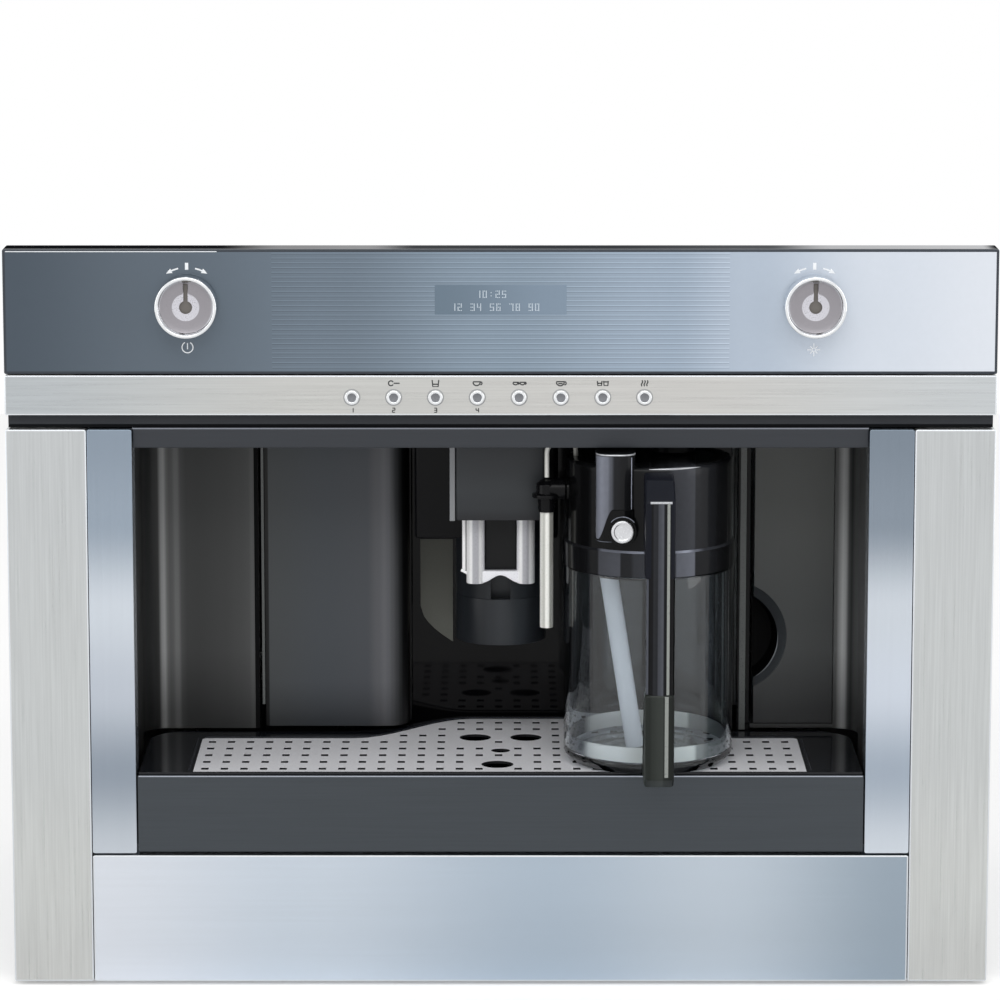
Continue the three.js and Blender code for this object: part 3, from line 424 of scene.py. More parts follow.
white_print = finish("white_print", (238, 241, 244), 0.5, 0.0, 3000, fleck=0.03, relief=0.02)
marks = []
for side, direction in (("left", -1), ("right", 1)):
    low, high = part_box(f"{side}_knob")
    knob_x, knob_z = middle_of(f"{side}_knob")
    reach = (high[0] - low[0]) / 2
    marks.append(ribbon([(knob_x, knob_z + reach + 2.7 * MM), (knob_x, knob_z + reach + 6.9 * MM)],
        2 * MM, front_y))
    for turn_way in (-1, 1):
        bow = arc(knob_x, knob_z, reach + 4 * MM, 90 + turn_way * 13, 90 + turn_way * 24, 8)
        marks.append(ribbon(bow, 0.9 * MM, front_y))
        head = arc(knob_x, knob_z, reach + 4 * MM, 90 + turn_way * 24, 90 + turn_way * 33, 3)
        marks.append(ribbon(head, np.array([3.0, 1.6, 0.1]) * MM, front_y))
    foot_z = knob_z - reach - 7.2 * MM
    if direction < 0:
        marks.append(ribbon(arc(knob_x, foot_z, 3.3 * MM, 118, 422, 28), 0.6 * MM, front_y))
        marks.append(ribbon([(knob_x, foot_z - 1.2 * MM), (knob_x, foot_z + 2.6 * MM)], 0.6 * MM, front_y))
    else:
        for ray in range(8):
            inner, outer = (arc(knob_x, foot_z - 1.5 * MM, r * MM, 45 * ray, 45 * ray + 1, 2)[0]
                for r in (1.5, 3.9 if ray % 2 == 0 else 3.1))
            marks.append(ribbon([inner, outer], 0.6 * MM, front_y))
        marks.append(ribbon(arc(knob_x, foot_z - 1.5 * MM, 1.1 * MM, 0, 360, 13), 0.5 * MM, front_y))
low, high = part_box("control_panel")
marks.append(ribbon([(low[0] + 2 * MM, high[2] - 1.5 * MM), (-0.17, high[2] - 1.5 * MM)], 0.5 * MM, front_y))
shell("panel_marks", marks, [white_print], "machine")


# ---- Display ----
# A tinted plastic lens set flush in the glass. Two rows of lit dots on it show plain numbers, with
# three or four dots on each stroke of a figure.

SEGMENTS = {"0": "abcdef", "1": "bc", "2": "abged", "3": "abgcd", "4": "fgbc", "5": "afgcd",
    "6": "afgedc", "7": "abc", "8": "abcdefg", "9": "abcdfg"}
STROKES = {"a": ((0, 2), (1, 2)), "b": ((1, 2), (1, 1)), "c": ((1, 1), (1, 0)), "d": ((0, 0), (1, 0)),
    "e": ((0, 1), (0, 0)), "f": ((0, 2), (0, 1)), "g": ((0, 1), (1, 1))}


def slab(x, y, z, edge, along="Y", corner=None, kind=0):
    """A block with eased edges: a rounded rectangle carried from one side to the other and drawn
    in round a quarter turn at both ends."""
    across = {"X": (y, z, x), "Y": (x, z, y), "Z": (x, y, z)}[along]
    low, high = across[2]
    profile = eased([(3 * edge, low), (0, low), (0, high), (3 * edge, high)], edge, 3)
    outline = rounded_rectangle(across[0], across[1], corner or edge)
    return carried(outline, profile, along), True, [0, -1], kind


def dots(text, x, z, pitch):
    """Places of the lit dots of a row of digits: three dots on each level stroke of a seven-stroke
    figure and four on each upright one, with the figures six pitches apart."""
    places = []
    for index, letter in enumerate(text):
        for stroke in SEGMENTS.get(letter, ""):
            (x0, z0), (x1, z1) = STROKES[stroke]
            for part in (0, 0.5, 1) if z0 == z1 else (0, 1 / 3, 2 / 3, 1):
                places.append((x + (index * 6 + 3 * (x0 + (x1 - x0) * part)) * pitch,
                    z + 3 * (z0 + (z1 - z0) * part) * pitch))
        if letter == ":":
            places += [(x + (index * 6 + 1.5) * pitch, z + step * pitch) for step in (1.5, 4.5)]
    return np.unique(np.round(places, 6), axis=0)


low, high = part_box("display")
lens_front = front_y - 0.15 * MM
# The lens keeps its blue tint and is painted lighter towards the right as a painted reflection.
lens_tint_and_sheen = finish("display_lens", (108, 125, 142), 0.18, 0.2, 400, fleck=0.01, relief=0.0,
    shade=(0, [(-0.04, (102, 119, 134)), (0.04, (126, 143, 160))]))
shell("display_glass", [slab((low[0], high[0]), (lens_front, high[1]), (low[2], high[2]), 0.35 * MM)],
    [lens_tint_and_sheen], "machine", "display")
lit_dot = finish("lit_dot", (224, 234, 242), 0.4, 0.0, 3000, fleck=0.02, relief=0.0)
DOT_PITCH = 0.645 * MM
squares = []
ROWS = (("10:25", -14.4 * MM, high[2] - 7.6 * MM), ("12 34 56 78 90", -29.4 * MM, low[2] + 2.6 * MM))
for text, x, z in ROWS:
    for at_x, at_z in dots(text, x, z, DOT_PITCH):
        squares.append(ribbon([(at_x, at_z - 0.2 * MM), (at_x, at_z + 0.2 * MM)], 0.52 * MM, lens_front,
            0.05 * MM))
shell("display_figures", squares, [lit_dot], "machine")


# ---- Knobs ----
# Turned and polished: a bright ring round a dished face, with a keyhole-shaped pointer sunk into
# it. Each turns on a steel stem that can be pushed in.

def turned(profile, centre, along="Z", steps=48):
    """Grid of a profile of (radius, height) turned about a line along an axis. centre is the
    line's place on the other two axes."""
    angle = np.linspace(0, 2 * pi, steps, endpoint=False)
    return turned_at(profile, centre, along, angle)


def turned_at(profile, centre, along, angle):
    """The same for a given list of angles. A radius may be an array with one value for each."""
    grid = np.empty((len(profile), len(angle), 3))
    first, second, height = ACROSS[along]
    for row, (radius, at) in zip(grid, profile):
        row[:, first] = centre[0] + radius * np.cos(angle)
        row[:, second] = centre[1] + radius * np.sin(angle)
        row[:, height] = at
    return grid


POINTER_EYE = 3.9 * MM
POINTER_HALF_WIDTH = 1.3 * MM
POINTER_REACH = 14.4 * MM
# Radius of the painted highlight round the pointer's eye.
HALO = 8.2 * MM


def keyhole(angle):
    """Radius of the pointer's outline: a round eye with a slot that runs up from it."""
    slot = np.minimum(POINTER_HALF_WIDTH / np.maximum(np.abs(np.cos(angle)), 1e-6),
        POINTER_REACH / np.maximum(np.sin(angle), 0.5))
    return np.where(np.sin(angle) > 0, np.maximum(slot, POINTER_EYE), POINTER_EYE)


chrome = finish("chrome", (236, 238, 240), 0.07, 1.0, 900, fleck=0.015, relief=0.01, rough_swing=0.03)
dished_steel = finish("dished_steel", (150, 147, 152), 0.36, 0.5, 1800, fleck=0.06, relief=0.06)
# Painted highlight: a lighter ring of the dish round the pointer's eye.
halo_highlight = finish("halo_highlight", (206, 205, 212), 0.3, 0.6, 1800, fleck=0.04, relief=0.04)
pointer_grey = finish("pointer_grey", (112, 108, 104), 0.45, 0.3, 2500, fleck=0.08, relief=0.08)
slot_edges = [np.arcsin(POINTER_HALF_WIDTH / r) for r in (POINTER_EYE, 6 * MM, 9 * MM, POINTER_REACH)]
knob_angles = np.sort(np.concatenate([np.radians(np.arange(115, 426, 5.0)) % (2 * pi),
    pi / 2 + np.array(slot_edges), pi / 2 - np.array(slot_edges), np.radians([90, 88, 92])]))
for side in ("left", "right"):
    low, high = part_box(f"{side}_knob")
    middle = middle_of(f"{side}_knob")
    radius, front, back = (high[0] - low[0]) / 2, low[1], high[1]
    face = radius - 3.1 * MM
    ring = eased([(3.4 * MM, back), (radius, back), (radius, front), (radius - 1.7 * MM, front),
        (face, front + 1.8 * MM)], [0, 0.8 * MM, 1.1 * MM, 0.7 * MM, 0], 5)
    hole = keyhole(knob_angles)
    halo = np.maximum(HALO, hole + 0.3 * MM)
    outer = [(face + (halo - face) * row, front + (1.8 + 1.2 * row ** 0.6) * MM) for row in np.linspace(0,
        1, 6)]
    inner = [(halo + (hole - halo) * row, front + (3 + 0.3 * row) * MM) for row in np.linspace(0, 1, 4)]
    sunk = [(hole, front + 3.3 * MM), (hole, front + 4.9 * MM)]
    parts = [(turned_at(ring, middle, "Y", knob_angles), True, [0], 0), (turned_at(outer, middle, "Y",
        knob_angles), True, [], 1), (turned_at(inner, middle, "Y", knob_angles), True, [], 3),
        (turned_at(sunk, middle, "Y", knob_angles), True, [-1], 2)]
    shell(f"{side}_knob_turning", parts, [chrome, dished_steel, pointer_grey, halo_highlight], f"{side}_dial",
        f"{side}_knob")


# ---- Button strip ----
# A pan of warm brushed stainless with eight round push buttons: chrome rings with a grey dimple.
# Dark printed symbols stand above seven of them and plain numbers under the first four.

# Painted reflection: the strip is greyer at the left and lighter to the middle and right, as stops along x.
strip_steel = finish("brushed_steel_level", (198, 199, 198), 0.32, 0.92, (12, 900, 900), fleck=0.06,
    relief=0.10, rough_swing=0.08, shade=(0, [(-0.3, (186, 191, 194)), (-0.1, (200, 200, 197)),
    (0.1, (203, 202, 199)), (0.3, (200, 204, 206))]))
pan("button_strip", strip_steel, polished_edge_highlight)
button_grey = finish("button_dimple", (128, 130, 134), 0.3, 0.6, 2500, fleck=0.06, relief=0.04)
BUTTONS = range(1, 9)
button_middles = []
for number in BUTTONS:
    low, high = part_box(f"button_{number}")
    middle = middle_of(f"button_{number}")
    button_middles.append(middle)
    front, flange = low[1], high[1]
    ring = eased([(0, flange), (5.8 * MM, flange), (5.8 * MM, flange - 1.2 * MM),
        (4.4 * MM, flange - 1.2 * MM), (4.4 * MM, front), (2.8 * MM, front), (2.4 * MM,
        front + 1.1 * MM)], [0, 0.2 * MM, 0.2 * MM, 0.2 * MM, 0.6 * MM, 0.4 * MM, 0], 4)
    dimple = [(2.4 * MM * (1 - row), front + (1.1 + 0.35 * row) * MM) for row in (0, 0.3, 0.6, 1)]
    shell(f"button_{number}_cap", [(turned(ring, middle, "Y", 40), True, [], 0), (turned(dimple, middle,
        "Y", 40), True, [], 1)], [chrome, button_grey], f"push_{number}", f"button_{number}")
seats = []
for x, z in button_middles:
    rim = [(4.6 * MM, front_y), (5.1 * MM, front_y), (5.1 * MM, front_y - 0.06 * MM),
        (4.6 * MM, front_y - 0.06 * MM), (4.6 * MM, front_y)]
    seats.append((turned(rim, (x, z), "Y", 40), True, [], 0))
# Painted shade: a greyer ring on the strip round each button, where the gap is in shade.
button_gap_shade = finish("button_gap_shade", (150, 152, 154), 0.4, 0.5, 2500, fleck=0.04, relief=0.02)
shell("button_seats", seats, [button_gap_shade], "machine")

dark_print = finish("dark_print", (40, 42, 44), 0.5, 0.0, 3000, fleck=0.05, relief=0.02)
SYMBOL_RISE = 8.6 * MM
NUMBER_DROP = 7.8 * MM


def cup(x, z, size):
    """A cup from the side: rim, bowl and a round handle."""
    bowl = arc(x, z + 0.35 * size, size, 185, 355, 10)
    handle = arc(x + 1.05 * size, z, 0.42 * size, -95, 95, 8)
    rim = [(x - size, z + 0.4 * size), (x + size, z + 0.4 * size)]
    return [bowl, handle, rim]


def steam(x, z, size):
    """Three rising wavy lines."""
    t = np.linspace(-1, 1, 9)
    return [np.column_stack([x + shift * size + 0.18 * size * np.sin(pi * t), z + 0.9 * size * t])
        for shift in (-0.8, 0, 0.8)]


def level(x, z, size, share):
    """A tall glass filled to a share of its height."""
    wall = [(x - size, z + size), (x - 0.8 * size, z - size), (x + 0.8 * size, z - size),
        (x + size, z + size)]
    top = z - size + 2 * size * share
    return [wall, [(x - 0.9 * size, top), (x + 0.9 * size, top)]]


symbols = {1: [arc(-1.6 * MM, 0, 1.5 * MM, 30, 330, 12), [(0, 0), (3.6 * MM, 0)]],
    2: level(0, 0, 2.0 * MM, 0.35), 3: cup(-0.4 * MM, 0, 2.2 * MM), 4: cup(-2.2 * MM, 0,
    1.5 * MM) + cup(2.0 * MM, 0, 1.5 * MM), 5: cup(-0.4 * MM, 0, 2.4 * MM) + [[(-1.6 * MM, -0.2 * MM),
    (1.0 * MM, -0.2 * MM)]], 6: level(-1.9 * MM, 0, 1.4 * MM, 0.5) + level(1.9 * MM, 0, 1.4 * MM, 0.8),
    7: steam(0, 0, 2.0 * MM)}
prints = []
for index, lines in symbols.items():
    x, z = button_middles[index]
    for line in lines:
        shifted = np.asarray(line, float) + (x, z + SYMBOL_RISE)
        prints.append(ribbon(shifted, 0.75 * MM, front_y))
for index, number in enumerate("1234"):
    x, z = button_middles[index]
    for stroke in SEGMENTS[number]:
        ends = np.array(STROKES[stroke]) * (1.5 * MM, 1.3 * MM) + (x - 0.75 * MM, z - NUMBER_DROP - 1.3 * MM)
        prints.append(ribbon(ends, 0.6 * MM, front_y))
shell("strip_prints", prints, [dark_print], "machine")


# ---- Shadow gap, valance and ceiling ----
# One dark moulding: a bar in the gap under the button strip, the valance over the opening and the
# ceiling behind it. A black seam parts the bar from the valance, whose top edge is painted lighter
# as a painted highlight.

def deep(millimetres):
    """Distance behind the front plane, as a place along y."""
    return front_y + millimetres * MM


VALANCE = (334 * MM, 346.2 * MM)
SEAM = (346.2 * MM, 348.1 * MM)
CEILING = (336 * MM, 338.5 * MM)
OPENING = 222 * MM

shadow_grey = finish("shadow_grey", (50, 52, 56), 0.5, 0.0, (20, 1200, 1200), fleck=0.06,
    Specular_IOR_Level=0.2)
seam_black = finish("seam_black", (8, 9, 13), 0.6, 0.0, 2500, fleck=0.1, relief=0.05, Specular_IOR_Level=0.1)
valance_grey = finish("valance_grey", (52, 55, 60), 0.45, 0.1, (15, 1200, 1200), fleck=0.05, relief=0.08,
    Specular_IOR_Level=0.3)
# Painted highlight: a light line along the valance's top edge.
valance_edge_highlight = finish("valance_edge_highlight", (138, 142, 152), 0.3, 0.5, 2500, fleck=0.04, relief=0.02)
low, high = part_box("cavity_top")
bar = (low[0], high[0])
shell("cavity_ceiling", [slab(bar, (deep(5), deep(20)), (SEAM[1], high[2]), 0.4 * MM, kind=0),
    slab(bar, (deep(5.8), deep(20)), (SEAM[0] + 0.05 * MM, SEAM[1] + 0.2 * MM), 0.05 * MM, kind=1),
    slab((-OPENING, OPENING), (deep(3), deep(9)), VALANCE, 0.7 * MM, kind=2), slab((-OPENING, OPENING),
    (deep(2.95), deep(3.4)), (VALANCE[1] - 0.7 * MM, VALANCE[1]), 0.05 * MM, kind=3),
    slab((-OPENING, OPENING), (deep(8), deep(21)), CEILING, 0.3 * MM, kind=2), slab((-228 * MM,
    228 * MM), (deep(20.4), high[1]), CEILING, 0.3 * MM, kind=0)], [shadow_grey, seam_black,
    valance_grey, valance_edge_highlight], "machine", "cavity_top")


# ---- Cavity lining ----
# Satin dark plastic walls that turn with a round corner from the sides to the rear, over a steel
# shelf. Behind the left one is the bay of the brew unit, behind the right one the tank's shelf.

def toned(stops, green, blue, start=0):
    """Colour stops from stops of (millimetres, red): green and blue are added to the red, up to
    255, and start is the place of 0."""
    return [(start + x * MM, (tone, tone + green, min(tone + blue, 255))) for x, tone in stops]


def drawn_in(points):
    """A closed outline as a function of an inset: each point moves along the bisector of its two
    edges, inwards, so that both edges move by the inset."""
    points = np.asarray(points, float)
    if np.sum(points[:, 0] * np.roll(points[:, 1], -1) - points[:, 1] * np.roll(points[:, 0], -1)) < 0:
        points = points[::-1]
    ahead = np.roll(points, -1, 0) - points
    normal = np.column_stack([-ahead[:, 1], ahead[:, 0]]) / np.linalg.norm(ahead, axis=1)[:, None]
    before = np.roll(normal, 1, 0)
    bisector = (normal + before) / (1 + np.sum(normal * before, 1))[:, None]
    return lambda inset: points + bisector * inset


def prism(points, span, edge=0.5 * MM, along="Z", kind=0):
    """A closed outline carried along an axis from one height to another, with eased ends."""
    profile = eased([(2 * edge, span[0]), (0, span[0]), (0, span[1]), (2 * edge, span[1])], edge, 3)
    return carried(drawn_in(points), profile, along), True, [0, -1], kind


def wall(path, thick, span, edge=0.5 * MM, kind=0):
    """Upright sheet along a plan path of (x, y), thickened to the left of its run."""
    path = np.asarray(path, float)
    ahead = np.gradient(path, axis=0)
    side = np.column_stack([-ahead[:, 1], ahead[:, 0]]) / np.linalg.norm(ahead, axis=1)[:, None]
    return prism(np.vstack([path, (path + side * thick)[::-1]]), span, edge, "Z", kind)


SIDE_WALL = 226 * MM
CORNER = 15 * MM
LINING = 2.5 * MM
LINING_SPAN = (134.6 * MM, 335.6 * MM)
low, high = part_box("cavity_wall_left")
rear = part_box("service_door")[0][1]
wall_front = deep(20.4)
gap_edge = -153 * MM

# Painted light on the walls: light lines where they turn at the rear corners, with dark bands beside them,
# as stops along x. The fade paints shade, darker towards the bottom.
lining_highlight_stops = [(-229, 50), (-222, 40), (-218, 24), (-216.2, 42), (-215, 150), (-213.8, 182),
    (-212.4, 172), (-211, 124), (-209.7, 104), (-208.2, 102), (-205.9, 128), (-204, 126), (-202, 88),
    (-199, 70), (-190, 66), (-175, 69), (-165, 75), (-159.5, 80), (-158, 94), (-155.8, 90), (206, 80),
    (211.5, 92), (213.6, 110), (215.4, 190), (217, 206), (218.2, 190), (220, 92), (221.5, 54),
    (224, 100), (229, 124)]
lining = finish("lining_plastic", (60, 63, 64), 0.4, 0.0, 1800, fleck=0.05, relief=0.08,
    Specular_IOR_Level=0.3, fade=(146 * MM, 185 * MM, 0.55), shade=(0, toned(lining_highlight_stops, 1, 1)))
# Painted shade: a black strip on the end of the left wall, by the gap at the door's left edge.
gap_shade_black = finish("gap_shade_black", (7, 7, 8), 0.6, 0.0, 1800, fleck=0.1, relief=0.02,
    Specular_IOR_Level=0.08)
corner = arc(-SIDE_WALL + CORNER, rear - CORNER, CORNER, 180, 90, 14)
path = np.vstack([[(-SIDE_WALL, wall_front)], corner, [(gap_edge, rear)]])
shell("cavity_lining_left", [wall(path, LINING, LINING_SPAN), slab((-SIDE_WALL - LINING, -SIDE_WALL),
    (wall_front, rear - CORNER), (low[2], LINING_SPAN[0] + 0.4 * MM), 0.4 * MM),
    slab((gap_edge - LINING, gap_edge), (rear + 1 * MM, high[1]), (180 * MM, LINING_SPAN[1]), 0.5 * MM),
    slab((gap_edge - LINING, high[0]), (rear + 9 * MM, high[1]), (180 * MM, 182.5 * MM), 0.5 * MM),
    slab((-155.7 * MM, gap_edge), (rear - 0.2 * MM, rear + 0.6 * MM), LINING_SPAN, 0.1 * MM, kind=1)],
    [lining, gap_shade_black], "machine", "cavity_wall_left")
low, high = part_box("cavity_wall_right")
guide_left = SIDE_WALL - CORNER + 1.1 * MM
path = np.vstack([arc(SIDE_WALL - CORNER, rear - CORNER, CORNER, 90, 0, 14), [(SIDE_WALL, wall_front)]])
shell("cavity_lining_right", [wall(path, LINING, LINING_SPAN), slab((SIDE_WALL, SIDE_WALL + LINING),
    (wall_front, rear - CORNER), (low[2], LINING_SPAN[0] + 0.4 * MM), 0.4 * MM),
    slab((low[0], high[0]), (rear + 1 * MM, high[1]), (134.6 * MM, 137.6 * MM), 0.5 * MM),
    slab((guide_left, high[0]), (rear + 1 * MM, high[1]), (134.6 * MM, 160 * MM), 0.5 * MM)], [lining],
    "machine", "cavity_wall_right")


def dressed(node, material, width=0.4 * MM, segments=2):
    """A CAD solid that keeps its shape: its loose triangles welded, every edge sharper than 35
    degrees eased, and its finish changed."""
    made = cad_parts[node]
    for place in made.material_slots:
        place.material = material
    weld = made.modifiers.new("weld", "WELD")
    weld.merge_threshold = MERGE
    if width:
        ease = made.modifiers.new("ease", "BEVEL")
        ease.limit_method, ease.angle_limit = "ANGLE", radians(35)
        ease.width, ease.segments, ease.use_clamp_overlap = width, segments, True


# The middle recess is one glossy black moulding. Thin grey strips close the joints beside it, and a
# grey patch on the lower left of its rear wall is a painted reflection.
recess_black = finish("recess_black", (10, 10, 12), 0.06, 0.0, 60, fleck=0.1, relief=0.01,
    rough_swing=0.02, Specular_IOR_Level=0.14)
dressed("cavity_back", recess_black, 0.8 * MM, 3)
strip_grey = finish("strip_grey", (92, 95, 94), 0.3, 0.2, 1500, fleck=0.05)
# Painted reflection: a grey patch with a curved lower edge on the recess's rear wall.
reflection_patch_grey = finish("reflection_patch_grey", (124, 125, 118), 0.5, 0.0, 1200, fleck=0.04, relief=0.04,
    Specular_IOR_Level=0.1)
recess_rear = deep(163)
STRIPS = [((gap_edge + 1.7 * MM, gap_edge + 3.5 * MM), (rear + 1.2 * MM, rear + 4 * MM),
    (150 * MM, 333 * MM)), ((151.2 * MM, 155.2 * MM), (rear - 1.2 * MM, rear), (134 * MM, 335 * MM)),
    ((148.3 * MM, 149.9 * MM), (recess_rear - 2.5 * MM, recess_rear), (140 * MM, 333 * MM))]
bow = [(-51.6 * MM + 20.9 * MM * t, (205 - 23.5 * t ** 0.55) * MM) for t in np.linspace(0, 1, 10)]
plate = np.vstack([bow, [(-30.7 * MM, 248.6 * MM), (-51.6 * MM, 248.6 * MM)]])
shell("joint_strips", [slab(*sides, 0.2 * MM) for sides in STRIPS] + [prism(plate,
    (recess_rear - 0.6 * MM, recess_rear), 0.2 * MM, "Y", 1)], [strip_grey, reflection_patch_grey], "machine")


# ---- Service door ----
# Satin grey moulding in front of the brew unit. Its right edge rolls back into the recess, and it
# turns on a pin behind its left edge.

low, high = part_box("service_door")
EDGE_ROLL = 14 * MM
DOOR_THICK = 3 * MM
door_left = -149 * MM
roll = arc(high[0] - EDGE_ROLL, rear + EDGE_ROLL, EDGE_ROLL, -90, 0, 16)
path = np.vstack([[(door_left, rear)], roll, [(high[0], high[1])]])
# Painted light along x: the first 2 mm at the left are black, painted shade of the gap by the wall; a
# lighter band where the right edge starts to roll is a painted highlight, and the roll darkens to black as
# painted shade. The fade paints shade, darker towards the bottom.
door_grey = finish("door_grey", (68, 71, 76), 0.4, 0.1, 1800, fleck=0.04, relief=0.06,
    Specular_IOR_Level=0.3, fade=(140 * MM, 165 * MM, 0.6), shade=(0, [(-0.149, (7, 7, 8)),
    (-0.1471, (8, 8, 9)), (-0.1465, (76, 79, 81)), (-0.11, (76, 80, 85)), (-0.085, (79, 82, 87)),
    (-0.0775, (96, 97, 101)), (-0.0735, (105, 106, 110)), (-0.071, (98, 99, 103)),
    (-0.0685, (84, 85, 88)), (-0.0655, (66, 67, 69)), (-0.0635, (46, 47, 48)), (-0.0615, (16, 16, 17)),
    (-0.0585, (12, 12, 13))]))
pin_x, pin_y = -147 * MM, rear + 4.5 * MM
barrel = eased([(0, low[2]), (2.5 * MM, low[2]), (2.5 * MM, high[2]), (0, high[2])], 0.3 * MM, 2)
shell("service_door_panel", [wall(path, DOOR_THICK, (low[2], high[2]), 0.7 * MM),
    (turned(barrel, (pin_x, pin_y), "Z", 16), True, [], 0)], [door_grey], "door", "service_door")


# ---- Water tank ----
# A clear grey tank that slides out to the front. Its front plate is satin grey with a finger scoop
# at the left edge, a sloping rim round a dark hollow.

tank_clear = finish("tank_plastic", (176, 190, 200), 0.12, 0.0, 900, fleck=0.02, relief=0.02,
    Transmission_Weight=0.75, IOR=1.45)
dressed("water_tank", tank_clear, 0.8 * MM, 3)
SCOOP_MIDDLE = (145.8 * MM, 194.4 * MM)
SCOOP_RADIUS = 35.4 * MM
low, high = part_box("tank_front")
aside = low[0] - SCOOP_MIDDLE[0]


def bead(path, radius, sides=10, kind=0):
    """A round bead along a path of 3-D points: circles square to the path, in the frame of its
    tangent and the z axis, or the y axis where the path stands upright."""
    path = np.asarray(path, float)
    tangent = np.gradient(path, axis=0)
    tangent /= np.linalg.norm(tangent, axis=1)[:, None]
    up = (0, 1, 0) if np.abs(tangent[:, 2]).max() > 0.9 else (0, 0, 1)
    side = np.cross(tangent, up)
    side /= np.linalg.norm(side, axis=1)[:, None]
    over = np.cross(side, tangent)
    angle = np.linspace(0, 2 * pi, sides, endpoint=False)[None, :, None]
    reach = np.broadcast_to(radius, len(path))[:, None, None]
    grid = path[:, None] + reach * (np.cos(angle) * side[:, None] + np.sin(angle) * over[:, None])
    return grid, True, [0, -1], kind


def scoop_row(radius, depth, drop=0.0, steps=28):
    """The part of a circle round the scoop's middle, or a drop below it, that lies on the plate."""
    reach = np.degrees(np.arccos(aside / radius))
    points = arc(*SCOOP_MIDDLE, radius, -reach, reach, steps)
    return np.column_stack([points[:, 0], np.full(steps, low[1] + depth), points[:, 1] - drop])


rim = scoop_row(SCOOP_RADIUS, 0)[:, [0, 2]]
plate = np.vstack([[(low[0], low[2]), (high[0], low[2]), (high[0], high[2]), (low[0], high[2])], rim[::-1]])
inside = [(30 * MM, 5 * MM), (29.6 * MM, 14 * MM), (27 * MM, 20 * MM), (21 * MM, 21.5 * MM),
    (aside + 0.1 * MM, 21.5 * MM)]
scoop_rows = np.stack([scoop_row(SCOOP_RADIUS - 0.1 * MM, 0.3 * MM), scoop_row(SCOOP_RADIUS - 1 * MM,
    1 * MM), scoop_row(31 * MM, 4 * MM, 1 * MM), scoop_row(30 * MM, 5 * MM, 1.4 * MM)])
hollow_rows = np.stack([scoop_row(radius, depth, 1.4 * MM) for radius, depth in inside])
# Painted light: the plate grows lighter towards the top, as stops along z, and the fade paints shade, darker
# towards the bottom.
tank_grey = finish("tank_grey", (71, 72, 73), 0.4, 0.1, 1800, fleck=0.05, relief=0.06,
    Specular_IOR_Level=0.3, fade=(146 * MM, 185 * MM, 0.58), shade=(2, [(0.14, (76, 77, 78)),
    (0.2, (81, 83, 83)), (0.3, (106, 108, 106)), (0.335, (112, 113, 112))]))
scoop_grey = finish("scoop_grey", (68, 71, 74), 0.32, 0.1, 1500, fleck=0.05, relief=0.03,
    Specular_IOR_Level=0.3)
# Painted shade: the scoop's hollow is near black.
hollow_shade_black = finish("hollow_shade_black", (8, 8, 9), 0.6, 0.0, 1500, fleck=0.08, Specular_IOR_Level=0.08)
# Painted highlight: a light bead along part of the scoop's inner rim.
scoop_highlight = finish("scoop_highlight", (150, 152, 155), 0.3, 0.3, 1500, fleck=0.05, relief=0.02)
lit = scoop_row(30.3 * MM, 4.6 * MM, 1.4 * MM)[1:16]
shell("tank_front_plate", [prism(plate, (low[1], high[1]), 0.4 * MM, "Y", 0), (scoop_rows, False, [], 1),
    (hollow_rows, False, [], 2), bead(lit, 0.45 * MM * np.sin(np.linspace(0.3, pi - 0.1, len(lit))), 8,
    3)], [tank_grey, scoop_grey, hollow_shade_black, scoop_highlight], "tank", "tank_front")


# ---- Drip tray ----
# A glossy black basin with a broad rim, a dark brushed front plate with a polished upper edge that
# is painted lighter as a highlight, and a punched steel grid on a ledge, painted dark below its top
# as shade in its holes. Its rear edge swings back along a cosine in the middle.

tray_black = finish("tray_black", (20, 22, 27), 0.1, 0.0, 200, fleck=0.08, relief=0.02, rough_swing=0.03,
    Specular_IOR_Level=0.4)
dressed("drip_tray", tray_black, 1.1 * MM, 3)
front_dark = finish("dark_steel", (68, 73, 78), 0.36, 0.55, (14, 900, 900), fleck=0.06, relief=0.1)
# The polished upper edge of the front plate is painted lighter as its highlight.
top_edge_highlight = finish("top_edge_highlight", (176, 182, 192), 0.25, 0.8, 2500, fleck=0.03, relief=0.02)
low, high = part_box("tray_front")
shell("tray_front_plate", [slab((low[0], high[0]), (low[1], high[1]), (low[2], high[2]), 0.4 * MM),
    slab((low[0] + 0.6 * MM, high[0] - 0.6 * MM), (low[1] - 0.03 * MM, low[1] + 1 * MM),
    (high[2] - 0.75 * MM, high[2] + 0.02 * MM), 0.1 * MM, kind=1)], [front_dark, top_edge_highlight], "tray",
    "tray_front")
grid_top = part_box("drip_grid")[1][2]
# Painted shade: below its top face the grid is near black, so the walls of its holes read as shade.
grid_steel = finish("grid_steel", (250, 250, 254), 0.42, 0.05, 900, fleck=0.05, relief=0.04,
    shade=(2, [(grid_top - 2 * MM, (14, 15, 18)), (grid_top - 0.4 * MM, (18, 19, 22)),
    (grid_top - 0.15 * MM, (250, 250, 254)), (grid_top, (250, 250, 254))]))
dressed("drip_grid", grid_steel, 0)

S_LEFT = (-93 * MM, -18 * MM)
S_RIGHT = (75 * MM, 143 * MM)


def rear_edge(x, side_y, centre_y):
    """Rear edge of the tray: side_y at both ends, swinging back along a cosine to centre_y."""
    left = (x - S_LEFT[0]) / (S_LEFT[1] - S_LEFT[0])
    right = (S_RIGHT[1] - x) / (S_RIGHT[1] - S_RIGHT[0])
    t = np.clip(np.minimum(left, right), 0, 1)
    return side_y + (centre_y - side_y) * (1 - np.cos(pi * t)) / 2


